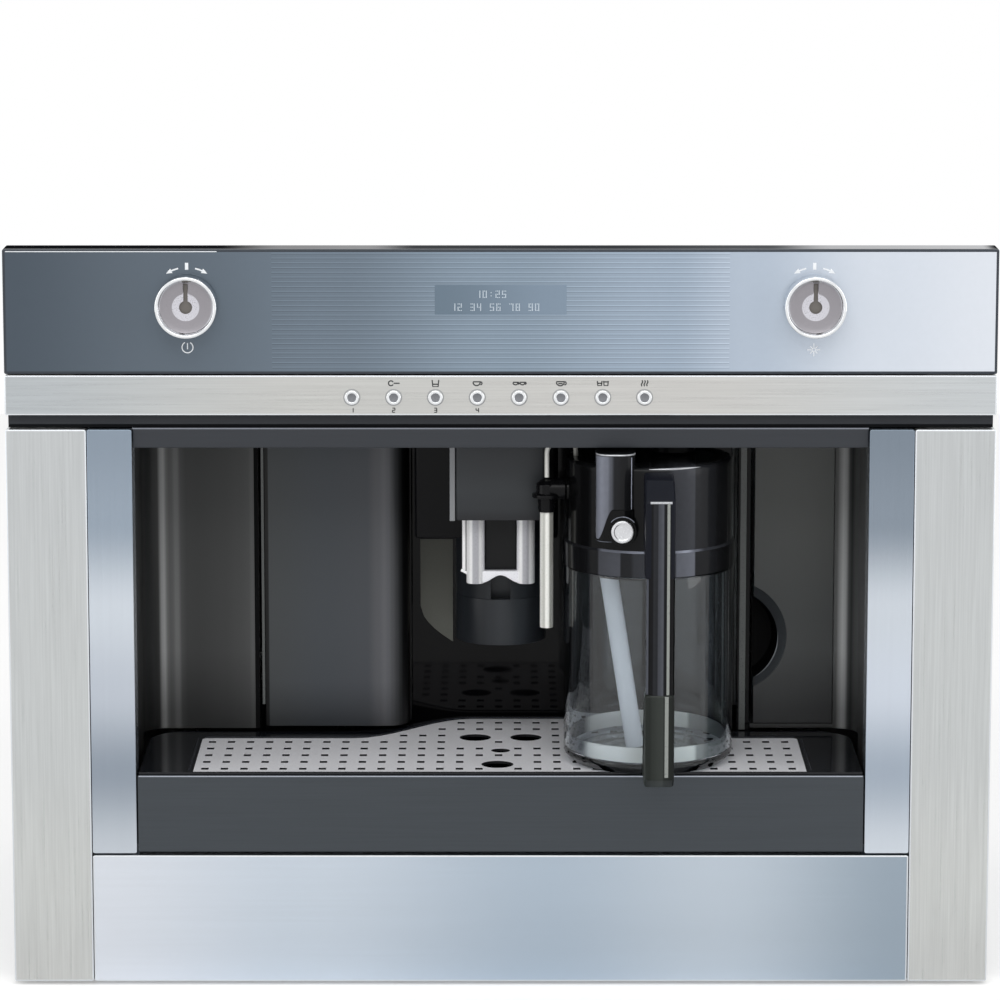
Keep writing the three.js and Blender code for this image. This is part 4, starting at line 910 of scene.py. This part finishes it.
low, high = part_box("drip_grid")
rim_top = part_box("drip_tray")[1][2]
lip_x = np.linspace(low[0] + 2 * MM, high[0] - 2 * MM, 120)
lip_y = rear_edge(lip_x, deep(97.4), deep(152.4))
behind = np.column_stack([lip_x, lip_y, np.full(120, rim_top - 0.35 * MM)])
ends = [np.array([(x, y, rim_top - 0.35 * MM) for y in np.linspace(deep(8), deep(94), 20)])
    for x in (low[0] - 2.6 * MM, high[0] + 2.6 * MM)]
lip_gloss = finish("lip_gloss", (60, 63, 70), 0.12, 0.3, 800, fleck=0.04, relief=0.01)
shell("tray_lip", [bead(line, 0.75 * MM) for line in (behind, *ends)], [lip_gloss], "tray")
container_black = finish("container_black", (34, 35, 38), 0.45, 0.0, 1500, fleck=0.06)
dressed("grounds_container", container_black, 0.6 * MM)


# ---- Coffee spout ----
# A grey head that slides on a rounded column by a tongue in its groove. Two chrome nozzles, joined
# by an arched bridge, hang from it in front of a dark plate.

# Painted shade: the head darkens towards its lower edge, as stops along z.
spout_grey = finish("spout_grey", (58, 61, 64), 0.4, 0.1, 1800, fleck=0.04, relief=0.05,
    Specular_IOR_Level=0.3, shade=(2, [(0.281, (42, 43, 46)), (0.29, (54, 57, 60)), (0.3, (60, 63, 66)),
    (0.334, (60, 62, 65))]))
# Painted light and shade across the round column: darker and lighter bands as stops along x.
column_reflection_stops = ((-28, 40), (-24, 31), (-16, 27), (-11, 32), (-7, 40), (0, 48), (8, 50), (14, 44),
    (20, 42), (28.5, 40))
column_grey = finish("column_grey", (52, 55, 60), 0.35, 0.05, 1200, fleck=0.05, relief=0.04,
    Specular_IOR_Level=0.3, shade=(0, toned(column_reflection_stops, 3, 7)))
# Painted highlight: a light strip down the left side of the spout head.
bevel_highlight = finish("bevel_highlight", (140, 142, 145), 0.4, 0.1, 1500, fleck=0.02, relief=0.0)
carrier_black = finish("carrier_black", (15, 15, 17), 0.2, 0.0, 600, fleck=0.08, relief=0.02,
    Specular_IOR_Level=0.12)
nozzle_plate_black = finish("nozzle_plate", (18, 19, 20), 0.4, 0.0, 1500, fleck=0.05,
    Specular_IOR_Level=0.2)
# Painted reflections: the nozzles, rod and foot are a nearly plain finish with light edges and a grey middle
# painted along x, standing for chrome.
nozzle_reflection_stops = [(9.8, 250), (12.6, 255), (14.2, 182), (16.8, 178), (18.4, 255), (21.4, 255)]
nozzle_reflection_stops = [(-x, tone) for x, tone in nozzle_reflection_stops[::-1]] + nozzle_reflection_stops
painted_chrome = finish("painted_chrome", (226, 226, 232), 0.3, 0.1, 1500, fleck=0.01, relief=0.0,
    shade=(0, toned(nozzle_reflection_stops, 0, 6)))
low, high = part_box("spout_column")
COLUMN_RADIUS, COLUMN_Y = 28.4 * MM, deep(111.1)
GROOVE_HALF, GROOVE_FOOT, GROOVE_DEPTH = 6.2 * MM, 225 * MM, deep(91.3)
CARRIER_BOTTOM = 261 * MM
nose = arc(0, COLUMN_Y, COLUMN_RADIUS, 180, 360, 41)
rear_corners = [(COLUMN_RADIUS, high[1]), (-COLUMN_RADIUS, high[1])]
notch = [(-GROOVE_HALF, GROOVE_DEPTH), (GROOVE_HALF, GROOVE_DEPTH)]
left_nose, right_nose = nose[nose[:, 0] < -GROOVE_HALF], nose[nose[:, 0] > GROOVE_HALF]
lips = [[(side * GROOVE_HALF, COLUMN_Y - np.sqrt(COLUMN_RADIUS ** 2 - GROOVE_HALF ** 2))]
    for side in (-1, 1)]
grooved = np.vstack([left_nose, lips[0], notch, lips[1], right_nose, rear_corners])
shell("spout_carrier", [prism(np.vstack([nose, rear_corners]), (low[2], GROOVE_FOOT), 0.8 * MM),
    prism(grooved, (GROOVE_FOOT, high[2]), 0.02 * MM), slab((low[0], high[0]), (deep(96), high[1]),
    (CARRIER_BOTTOM, high[2]), 2.5 * MM, "Z", 3 * MM, kind=1)], [column_grey, carrier_black], "machine",
    "spout_column")
HEAD_HALF = 28 * MM
TONGUE_HALF = 5.6 * MM
PLATE_HALF = 9.6 * MM
NOZZLE_X, NOZZLE_RADIUS, NOZZLE_BORE = 15.6 * MM, 5.65 * MM, 3.8 * MM
low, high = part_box("spout_housing")
head_bottom = 281 * MM
nozzle_y = deep(68)
shell("spout_head", [slab((-HEAD_HALF, HEAD_HALF), (low[1], deep(82.3)), (head_bottom, high[2]), 0.7 * MM,
    "Z", 3 * MM), slab((-TONGUE_HALF, TONGUE_HALF), (deep(81.3), high[1]), (head_bottom - 16 * MM,
    high[2]), 0.5 * MM, "Z"), slab((-PLATE_HALF, PLATE_HALF), (nozzle_y + 2 * MM, nozzle_y + 6 * MM),
    (low[2], head_bottom + 1 * MM), 0.5 * MM, kind=1), slab((-TONGUE_HALF, TONGUE_HALF),
    (nozzle_y + 5 * MM, deep(82.3)), (head_bottom - 16 * MM, head_bottom), 0.4 * MM, kind=1),
    slab((-HEAD_HALF - 3.4 * MM, -HEAD_HALF - 0.1 * MM), (low[1] + 1 * MM, low[1] + 4 * MM),
    (head_bottom - 0.5 * MM, high[2]), 0.4 * MM, kind=2)], [spout_grey, nozzle_plate_black, bevel_highlight],
    "spout", "spout_housing")

low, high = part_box("spout_nozzles")
tube = eased([(NOZZLE_BORE, low[2] + 30 * MM), (NOZZLE_BORE, low[2]), (NOZZLE_RADIUS, low[2]),
    (NOZZLE_RADIUS, high[2])], 0.5 * MM, 3)
tubes = [(turned(np.vstack([[(0, low[2] + 30 * MM)], tube, [(0, high[2])]]), (x, nozzle_y), "Z", 40),
    True, [], 0) for x in (-NOZZLE_X, NOZZLE_X)]
reach = NOZZLE_X - NOZZLE_BORE - 0.6 * MM


def bridge(x):
    """Section of the bridge at x: a rounded block whose underside rises in a cosine arch."""
    under = low[2] + 0.5 * MM + 4.6 * MM * (1 + np.cos(pi * x / reach)) / 2
    corners = [(nozzle_y - 3.5 * MM, under), (nozzle_y + 1.6 * MM, under), (nozzle_y + 1.6 * MM,
        low[2] + 8 * MM), (nozzle_y - 3.5 * MM, low[2] + 8 * MM)]
    loop = eased(corners, 0.8 * MM, 3, wraps=True)
    return np.column_stack([np.full(len(loop), x), loop])


arch = np.stack([bridge(x) for x in np.linspace(-reach, reach, 25)])
rod = bead([(-NOZZLE_X - 7.2 * MM, nozzle_y, z) for z in np.linspace(low[2] + 8 * MM, head_bottom, 8)],
    1.1 * MM)
foot = bead(np.linspace((-NOZZLE_X - 9 * MM, nozzle_y, low[2] + 8 * MM), (-NOZZLE_X - 4 * MM, nozzle_y,
    low[2] + 5.5 * MM), 5), 0.9 * MM)
shell("spout_tubes", tubes + [(arch, True, [0, -1], 0), rod, foot], [painted_chrome], "spout",
    "spout_nozzles")


# ---- Milk jug ----
# A clear glass beaker with a steel ring in its foot, under a glossy black lid. The lid has a band, a
# turret with the froth valve and a round clean button in its well, and a port for the milk spout.

JUG_X, JUG_Y = 91 * MM, deep(42)
LID_SIDE = 51 * MM
low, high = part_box("jug_glass")
radius, inner = (high[0] - low[0]) / 2, (high[0] - low[0]) / 2 - 2.4 * MM
jug_bottom, jug_top = low[2], high[2]
outside = eased([(0, jug_bottom + 1.2 * MM), (30 * MM, jug_bottom + 1.2 * MM), (34 * MM, jug_bottom),
    (radius - 5 * MM, jug_bottom), (radius, jug_bottom + 5 * MM), (radius, jug_top), (inner, jug_top),
    (inner, jug_bottom + 6.5 * MM), (0, jug_bottom + 4.5 * MM)], [0, 2 * MM, 1 * MM, 2 * MM, 3 * MM,
    0.8 * MM, 0.8 * MM, 3 * MM, 0], 6)
glass = finish("clear_glass", (232, 238, 242), 0.02, 0.0, 400, fleck=0.004, relief=0.004,
    rough_swing=0.01, Transmission_Weight=1.0, IOR=1.46)
shell("jug_beaker", [(turned(outside, (JUG_X, JUG_Y), "Z", 96), True, [], 0)], [glass], "jug",
    "jug_glass")
low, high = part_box("jug_base_ring")
ring_out, ring_in = (high[0] - low[0]) / 2, (high[0] - low[0]) / 2 - 1 * MM
ring = eased([(ring_out, low[2]), (ring_out, high[2]), (ring_in, high[2]), (ring_in, low[2])], 0.25 * MM,
    2, True)
# Painted reflections: bright and dark bands along x on the foot ring.
ring_steel_reflections = finish("ring_steel_reflections", (214, 214, 210), 0.35, 0.1, (120, 120, 900), fleck=0.01, relief=0.0,
    shade=(0, [(0.041, (90, 92, 96)), (0.05, (110, 113, 118)), (0.056, (252, 252, 248)),
    (0.07, (255, 255, 252)), (0.085, (236, 236, 230)), (0.105, (250, 252, 246)),
    (0.117, (250, 252, 246)), (0.1195, (150, 154, 152)), (0.131, (124, 128, 128)),
    (0.141, (80, 83, 88))]))
shell("jug_foot_ring", [(turned(np.vstack([ring, ring[:1]]), (JUG_X, JUG_Y), "Z", 96), True, [], 0)],
    [ring_steel_reflections], "jug", "jug_base_ring")


def reflection_banded(name, stops, roughness=0.14, level=0.14):
    """A glossy dark finish with painted reflection bands along x: stops of (millimetres, brightness)."""
    shades = [(x * MM, (value, value * 1.03, value * 1.12)) for x, value in stops]
    return finish(name, (24, 25, 29), roughness, 0.0, 300, fleck=0.05, relief=0.01, rough_swing=0.03,
        shade=(0, shades), Specular_IOR_Level=level)


# Painted reflections on the lid, its band, the rim line and the turret, as bands along x.
lid_black = reflection_banded("lid_black", [(40, 8), (57, 12), (82, 16), (100, 40), (106, 58), (117, 62),
    (117.9, 36), (127, 30), (134, 16), (143, 10)])
band_black = reflection_banded("band_black", [(38, 12), (58.6, 20), (59.6, 66), (71.8, 76), (72.6, 32), (78, 34),
    (81, 56), (86, 60), (105, 30), (106.4, 98), (117, 104), (117.8, 30), (130, 24), (137, 10), (144, 8)])
rim_highlight_line = reflection_banded("rim_highlight_line", [(38, 24), (58, 34), (62, 130), (84, 165), (105, 140), (112, 176),
    (118, 110), (124, 56), (144, 22)], 0.25)
turret_black = reflection_banded("turret_black", [(57.5, 112), (60, 124), (64, 112), (66, 84), (68.6, 32), (74, 24),
    (81, 24)])
# Painted highlights: the turret's top edge, the glint on the lid's shoulder and the line on the handle's
# cap.
painted_highlight_line = finish("painted_highlight_line", (176, 178, 182), 0.22, 0.4, 900, fleck=0.04, relief=0.01)
low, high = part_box("jug_lid")
band_bottom, band_top, lid_top = 256.6 * MM, 271.4 * MM, 323.4 * MM
BAND = 52.6 * MM
profile = eased([(0, lid_top - 3 * MM), (LID_SIDE - 5 * MM, lid_top - 3 * MM), (inner - 2 * MM,
    lid_top - 6 * MM), (inner - 2 * MM, jug_top - 2 * MM), (inner - 0.4 * MM, jug_top - 2 * MM),
    (inner - 0.4 * MM, band_bottom), (BAND - 0.8 * MM, band_bottom)], [0, 1 * MM, 1 * MM, 0.3 * MM,
    0.3 * MM, 0.2 * MM, 0], 4)
band = eased([(BAND - 0.8 * MM, band_bottom), (BAND, band_bottom), (BAND, band_top)], 0.7 * MM, 4)
rolled = eased([(BAND, band_top), (LID_SIDE, band_top + 1.2 * MM)], 0, 1)
side = [(LID_SIDE, band_top + 1.2 * MM), (LID_SIDE, lid_top - 6 * MM)]
shoulder = eased([(LID_SIDE, lid_top - 6 * MM), (LID_SIDE, lid_top), (LID_SIDE - 7 * MM, lid_top)],
    5 * MM, 8)
crown = [(LID_SIDE - 7 * MM, lid_top), (LID_SIDE - 8.5 * MM, lid_top - 0.9 * MM),
    (LID_SIDE - 11 * MM, lid_top - 1.2 * MM), (0, lid_top - 1.2 * MM)]
patches = [(turned(rows, (JUG_X, JUG_Y), "Z", 96), True, [], kind) for rows, kind in ((profile, 0),
    (band, 3), (rolled, 1), (side, 0), (shoulder, 0), (crown, 0))]
TURRET_X, TURRET_Y = (57.5 * MM, 81 * MM), (deep(-12), deep(22))
turret_bottom = 278.7 * MM
tower = rounded_rectangle(TURRET_X, TURRET_Y, 8 * MM, 8)
CLEAN = (73.3 * MM, 285.4 * MM)
CLEAN_RADIUS = 6.9 * MM
WELL_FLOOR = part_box("clean_button")[1][1] + 3 * MM


def fine_tower(inset):
    """The turret's outline resampled along its length, about every 0.6 mm."""
    loop = tower(inset)
    loop = np.vstack([loop, loop[:1]])
    along = np.concatenate([[0], np.cumsum(np.hypot(*np.diff(loop, axis=0).T))])
    steps = np.linspace(0, along[-1], 190, endpoint=False)
    return np.column_stack([np.interp(steps, along, loop[:, 0]), np.interp(steps, along, loop[:, 1])])


def hollowed(grid):
    """The grid with the points round the clean button's axis moved back behind the floor of its well."""
    near = np.hypot(grid[..., 0] - CLEAN[0], grid[..., 2] - CLEAN[1]) < CLEAN_RADIUS + 1.2 * MM
    grid[..., 1] = np.where(near, np.maximum(grid[..., 1], WELL_FLOOR + 0.3 * MM), grid[..., 1])
    return grid


tower_rows = np.vstack([eased([(3 * MM, turret_bottom), (0, turret_bottom), (0, turret_bottom + 2 * MM)],
    1.5 * MM, 4), [(0, z * MM) for z in np.arange(281.3, 295, 0.6)], [(0, high[2] - 1.2 * MM)]])
patches += [(hollowed(carried(fine_tower, tower_rows, "Z")), True, [0], 2), (carried(tower,
    eased([(0, high[2] - 1.2 * MM), (0, high[2]), (4 * MM, high[2])], 0.8 * MM, 3), "Z"), True, [-1], 0)]
edge = tower(0.25 * MM)[18:36]
patches.append(bead(np.column_stack([edge, np.full(18, high[2] - 0.45 * MM)]), 0.55 * MM, 8, 4))
skirt = fine_tower(-0.6 * MM)
swoop = np.clip((skirt[:, 0] - 58 * MM) / (9 * MM), 0, 1)
swoop = (280.5 + 18.5 * swoop ** 2 * (3 - 2 * swoop)) * MM
hem = turret_bottom + 1 * MM
skirt_rows = [(0.5 * MM, np.full(len(skirt), hem - 0.7 * MM))]
skirt_rows += [(-0.6 * MM, hem + share * (swoop - 0.6 * MM - hem)) for share in np.linspace(0, 1, 26)]
skirt_rows += [(0.3 * MM, swoop)]
patches.append((hollowed(np.stack([np.column_stack([fine_tower(inset), height]) for inset,
    height in skirt_rows])), True, [0], 0))
corner_x, corner_y = tower(0)[31]
patches.append(bead([(corner_x, corner_y, z) for z in np.linspace(293 * MM, high[2] - 2 * MM, 8)],
    0.3 * MM, 8, 1))
well = eased([(CLEAN_RADIUS + 0.4 * MM, WELL_FLOOR), (CLEAN_RADIUS + 0.4 * MM, deep(-13)),
    (CLEAN_RADIUS + 2 * MM, deep(-13)), (CLEAN_RADIUS + 2 * MM, deep(4))], 0.5 * MM, 3)
patches.append((turned(np.vstack([[(0, WELL_FLOOR)], well, [(0, deep(4))]]), CLEAN, "Y", 40), True, [], 0))
hood = arc(*CLEAN, CLEAN_RADIUS + 2.1 * MM, 40, 140, 14)
patches.append(bead(np.column_stack([hood[:, 0], np.full(14, deep(-12.4)), hood[:, 1]]), 0.35 * MM, 8, 1))
pivot = (deep(36), 303.4 * MM)
port = eased([(0, 40.2 * MM), (7 * MM, 40.2 * MM), (7 * MM, 47 * MM), (0, 47 * MM)], 0.6 * MM, 3)
patches.append((turned(port, pivot, "X", 32), True, [], 0))
glint = arc(JUG_X, JUG_Y, LID_SIDE - 0.9 * MM, -92, -52, 20)
patches.append(bead(np.column_stack([glint, np.full(20, lid_top - 0.8 * MM)]),
    0.75 * MM * np.sin(np.linspace(0.4, pi - 0.1, 20)), 8, 4))
shell("jug_cover", patches, [lid_black, rim_highlight_line, turret_black, band_black, painted_highlight_line], "jug",
    "jug_lid")

silver = finish("silver_button", (222, 223, 226), 0.24, 0.75, 900, fleck=0.04, relief=0.03)
low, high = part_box("clean_button")
face = eased([(0, high[1]), (CLEAN_RADIUS, high[1]), (CLEAN_RADIUS, low[1]), (CLEAN_RADIUS - 1.6 * MM,
    low[1]), (CLEAN_RADIUS - 2.2 * MM, low[1] + 0.3 * MM), (0, low[1] + 0.5 * MM)],
    [0, 0.3 * MM, 0.8 * MM, 0.2 * MM, 0.2 * MM, 0], 4)
shell("clean_button_cap", [(turned(face, CLEAN, "Y", 40), True, [], 0)], [silver], "clean_push",
    "clean_button")


# ---- Jug handle ----
# A glossy black bar with a sloping cap that runs back into the lid, and a wider grip at the foot
# that turns in towards the glass. A light bead down its right edge is a painted highlight, and the
# bands of light on the bar and the grip are painted reflections.

low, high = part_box("jug_handle")
HANDLE_X = (low[0] + high[0]) / 2
HALF = (high[0] - low[0]) / 2
THICK = 16 * MM
GRIP_TOP = 192 * MM
# Painted reflections on the bar and the grip: light and dark bands along x.
handle_reflection_tones = ((-9, 14), (-7.6, 90), (-7.1, 90), (-6.6, 18), (-4.6, 22), (-3.6, 40), (-1.6, 38), (-0.9, 66),
    (1.8, 78), (2.6, 26), (6.6, 18), (9, 12))
handle_black = reflection_banded("handle_black", [(HANDLE_X / MM + at, tone) for at, tone in handle_reflection_tones], 0.18, 0.1)
cap_navy = finish("cap_navy", (20, 22, 30), 0.35, 0.0, 600, fleck=0.05, relief=0.02, Specular_IOR_Level=0.12)
grip_reflection_tones = ((-9, 60), (-8, 30), (-6, 28), (-4, 40), (0, 48), (1.8, 50), (3, 30), (6.4, 24), (9, 10))
# Painted highlight: the light beads down the right edge of the bar and the grip.
rail_highlight_line = finish("rail_highlight_line", (142, 146, 142), 0.3, 0.2, 900, fleck=0.02, relief=0.0)
grip_grey = finish("grip_grey", (56, 60, 57), 0.35, 0.0, 900, fleck=0.04, relief=0.02,
    Specular_IOR_Level=0.2, shade=(0, toned(grip_reflection_tones, 4, 1, HANDLE_X)))
bar_x = (HANDLE_X - HALF + 1 * MM, HANDLE_X + HALF)
bar_y = (low[1] + 0.6 * MM, low[1] + THICK - 1 * MM)
LINE_Z = 308.5 * MM
cap_side = [(bar_y[0] + 0.4 * MM, LINE_Z), (bar_y[0] + 2 * MM, LINE_Z + 2 * MM), (bar_y[0] + 16 * MM,
    high[2] - 2 * MM), (high[1], high[2]), (high[1], 276 * MM), (bar_y[1] + 5 * MM, 276 * MM),
    (bar_y[1], 268 * MM), (bar_y[1], 262 * MM), (bar_y[0] + 0.4 * MM, 262 * MM)]
foot_side = [(low[1], low[2] + 6 * MM), (low[1], GRIP_TOP), (low[1] + THICK, GRIP_TOP),
    (low[1] + THICK, 156 * MM), (low[1] + THICK + 4 * MM, 150 * MM), (JUG_Y - radius - 1 * MM,
    149.5 * MM), (JUG_Y - radius - 1 * MM, low[2]), (low[1] + 6 * MM, low[2])]
shell("jug_grip", [slab(bar_x, bar_y, (GRIP_TOP - 2 * MM, LINE_Z + 0.5 * MM), 1.2 * MM, "Z", 4.5 * MM,
    kind=0), prism(eased(cap_side, 2 * MM, 4, wraps=True), (low[0], high[0]), 2.4 * MM, "X", 3),
    prism(eased(foot_side, 2 * MM, 4, wraps=True), (low[0], high[0]), 2.6 * MM, "X", 1),
    bead([(HANDLE_X + 4.8 * MM, bar_y[0] + 0.9 * MM, z) for z in np.linspace(GRIP_TOP, LINE_Z, 12)],
    1.2 * MM, 10, 4), bead([(HANDLE_X + 4.3 * MM, low[1] + 1.9 * MM, z) for z in np.linspace(141.5 * MM,
    GRIP_TOP - 1 * MM, 8)], 2.2 * MM, 12, 4), bead([(x, bar_y[0] + 0.5 * MM, LINE_Z)
    for x in np.linspace(HANDLE_X - 6 * MM, HANDLE_X + 7 * MM, 6)], 0.8 * MM, 10, 2)],
    [handle_black, grip_grey, painted_highlight_line, cap_navy, rail_highlight_line], "jug", "jug_handle")


# ---- Milk spout, intake tube and froth dial ----
# The chrome pouring tube hangs from a black swivel at the side of the lid. A pale tube in the jug
# draws the milk up. The dial on the lid sets the froth.

low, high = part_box("milk_spout")
MILK_X = 28.2 * MM
milk_top = 289.2 * MM
joint_z = pivot[1]
barrel = eased([(2.9 * MM, milk_top - 12 * MM), (2.9 * MM, low[2]), (4.1 * MM, low[2]),
    (4.1 * MM, milk_top)], [0, 0.5 * MM, 0.5 * MM, 0], 3)
collar = eased([(0, milk_top), (5.2 * MM, milk_top), (5.6 * MM, milk_top + 8.6 * MM),
    (9 * MM, milk_top + 9 * MM), (9 * MM, milk_top + 11.2 * MM), (6.5 * MM, milk_top + 11.6 * MM),
    (6.5 * MM, joint_z + 3 * MM), (4.5 * MM, joint_z + 5 * MM), (0, joint_z + 7 * MM)],
    [0, 0.5 * MM, 0.5 * MM, 0.4 * MM, 0.4 * MM, 0.5 * MM, 1.5 * MM, 1.5 * MM, 0], 4)
boss = eased([(0, MILK_X), (6.5 * MM, MILK_X), (6.5 * MM, 39.6 * MM), (0, 39.6 * MM)], 0.6 * MM, 3)
collar_black = finish("collar_black", (12, 12, 14), 0.25, 0.0, 900, fleck=0.06, relief=0.02,
    Specular_IOR_Level=0.15)
# Painted reflections: the pouring tube and its feed pipe are a nearly plain finish with light and dark bands
# along x, standing for chrome.
tube_reflection_stops = ((-4.1, 255), (-3, 240), (-2.2, 196), (-1.2, 200), (-0.5, 255), (1.1, 255), (1.8, 190),
    (2.6, 140), (3.2, 190), (4.1, 180))
painted_tube_chrome = finish("painted_tube_chrome", (220, 220, 214), 0.3, 0.1, 1500, fleck=0.01, relief=0.0,
    shade=(0, toned(tube_reflection_stops, 0, -6, MILK_X)))
feed = eased([(MILK_X, pivot[0], joint_z + 7.1 * MM), (MILK_X, pivot[0], 330.5 * MM),
    (46 * MM, pivot[0] + 4 * MM, 330.5 * MM), (46 * MM, pivot[0] + 4 * MM, 321.8 * MM)], 5 * MM, 8)
shell("milk_feed_pipe", [bead(feed, 1.5 * MM, 16)], [painted_tube_chrome], "jug")
shell("milk_pourer_tube", [(turned(np.vstack([[(0, milk_top - 12 * MM)], barrel]), (MILK_X, pivot[0]),
    "Z", 40), True, [], 0), (turned(collar, (MILK_X, pivot[0]), "Z", 40), True, [], 1),
    (turned(boss, pivot, "X", 32), True, [], 1)], [painted_tube_chrome, collar_black], "milk_pourer",
    "milk_spout")

milky = finish("milk_tube_plastic", (248, 250, 255), 0.35, 0.0, 900, fleck=0.01, relief=0.0)
foot_of_tube, head_of_tube = np.array([83 * MM, deep(40), 141 * MM]), np.array([55 * MM, deep(34),
    318.6 * MM])
run = np.linspace(foot_of_tube, head_of_tube, 24)
grid, wraps, caps, kind = bead(run, 4.2 * MM, 20)
grid[:, :, 0] = run[:, :1] + (grid[:, :, 0] - run[:, :1]) * 1.35
shell("milk_draw_tube", [(grid, wraps, caps, kind)], [milky], "jug", "milk_intake_tube")
dial_black = finish("dial_black", (14, 14, 16), 0.4, 0.0, 1500, fleck=0.06, Specular_IOR_Level=0.15)
dressed("froth_dial", dial_black, 0.5 * MM, 3)


# ---- Body, covers and rails ----
# Folded galvanised steel sheet round the works. Stamped beads stiffen the sides, screws hold the
# covers, and ball-bearing rails let the whole machine slide out of its niche.

zinc = finish("zinc_steel", (172, 175, 178), 0.42, 0.75, 60, fleck=0.1, relief=0.06, rough_swing=0.12)
rail_zinc = finish("rail_zinc", (158, 161, 165), 0.34, 0.85, (900, 14, 900), fleck=0.08, relief=0.08)
for node in ("chassis_floor", "side_panel_left", "side_panel_right", "top_cover", "tray_shelf",
    "rear_cover"):
    dressed(node, zinc, 0.5 * MM)
for side in ("left", "right"):
    for member in ("outer", "middle"):
        dressed(f"{member}_rail_{side}", rail_zinc, 0.3 * MM)
    dressed(f"{side}_knob_stem", zinc, 0.3 * MM)


def stamped(centre, length, width, rise, axis, out, lengthwise, kind=0):
    """A stamped bead: rows of shrinking stadium outlines that rise along a quarter sine. axis is
    the one it stands out along, out its direction, and lengthwise the one it runs along."""
    angle = np.linspace(0, 2 * pi, 48, endpoint=False)
    shift = np.where(np.cos(angle) >= 0, 1, -1) * (length - width) / 2
    rows = []
    for share in np.linspace(0, 1, 6):
        r = width / 2 * np.cos(share * pi / 2)
        point = np.zeros((48, 3))
        other = 3 - axis - lengthwise
        point[:, lengthwise] = centre[lengthwise] + shift + r * np.cos(angle)
        point[:, other] = centre[other] + r * np.sin(angle)
        point[:, axis] = centre[axis] + out * rise * np.sin(share * pi / 2)
        rows.append(point)
    return np.stack(rows), True, [], kind


def screw(place, axis, out, radius=3.4 * MM, kind=0):
    """A low domed screw head with a round socket."""
    centre = [place[a] for a in range(3) if a != axis]
    height = place[axis]
    dome = [(0, height - out * 0.2 * MM), (radius, height - out * 0.2 * MM), (radius,
        height + out * 0.7 * MM), (radius * 0.8, height + out * 1.4 * MM), (radius * 0.45,
        height + out * 1.8 * MM), (radius * 0.3, height + out * 0.9 * MM), (0, height + out * 0.9 * MM)]
    return turned(dome, centre, "XYZ"[axis], 20), True, [], kind


bead_places = [(-50, 340), (40, 340), (130, 340), (-50, 250), (40, 250), (130, 250), (-50, 160),
    (40, 160), (130, 160)]
for side, out in (("left", -1), ("right", 1)):
    face = out * 258 * MM
    marks = [stamped((face, y * MM, z * MM), 70 * MM, 16 * MM, 1.2 * MM, 0, out, 1) for y, z in bead_places]
    shell(f"side_beads_{side}", marks, [zinc], "machine")
    heads = [screw((face, y * MM, z * MM), 0, out) for y in (-115, 30, 178) for z in (74, 390)]
    shell(f"side_screws_{side}", heads, [rail_zinc], "machine")
rear_face = deep(352.4)
heads = [screw((x * MM, rear_face, z * MM), 1, 1) for x in (-246, -82, 82, 246) for z in (18, 395)]
heads += [screw((x * MM, rear_face, 206 * MM), 1, 1) for x in (-246, 246)]
shell("rear_screws", heads, [rail_zinc], "machine")
ribs = [stamped((x * MM, rear_face, 170 * MM), 150 * MM, 18 * MM, 1.2 * MM, 1, 1, 2)
    for x in (-180, -90, 0, 90)]
shell("rear_beads", ribs, [zinc], "machine")
low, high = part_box("top_cover")
marks = [stamped((x * MM, 0, high[2]), 160 * MM, 16 * MM, 1.2 * MM, 2, 1, 1) for x in (-220, -170, 200)]
marks += [stamped((x * MM, -60 * MM, high[2]), 90 * MM, 16 * MM, 1.2 * MM, 2, 1, 1)
    for x in (-80, -20, 40, 100, 150)]
shell("top_beads", marks, [zinc], "machine")
heads = [screw((x * MM, y * MM, high[2]), 2, 1) for x in (-246, 0, 246) for y in (-126, 186)]
shell("top_screws", heads, [rail_zinc], "machine")


# ---- Beans, brewing group and water circuit ----
# Inside the body: the bean hopper under its hinged lid, the grinder, the brew unit, the water
# heater, the pump and the control board.

cover_black = finish("cover_black", (40, 41, 44), 0.45, 0.0, 1500, fleck=0.08, relief=0.1)
hopper_clear = finish("hopper_plastic", (150, 156, 160), 0.2, 0.0, 900, fleck=0.03, relief=0.02,
    Transmission_Weight=0.6, IOR=1.45)
cast_metal = finish("cast_aluminium", (176, 178, 180), 0.5, 0.7, 700, fleck=0.1, relief=0.25)
works_black = finish("works_black", (48, 49, 52), 0.45, 0.0, 1200, fleck=0.08, relief=0.1)
board_green = finish("circuit_board", (44, 106, 68), 0.45, 0.0, 900, fleck=0.12, relief=0.1)
WORKS = (("hopper_lid", cover_black, 0.8), ("grind_knob", cover_black, 0.6), ("bean_hopper", hopper_clear,
    0.8), ("grinder", cast_metal, 1), ("thermoblock", cast_metal, 0.8), ("brew_unit", works_black, 1),
    ("pump", zinc, 0.8))
for node, material, width in WORKS:
    dressed(node, material, width * MM, 3)
dressed("control_board", board_green, 0.2 * MM)
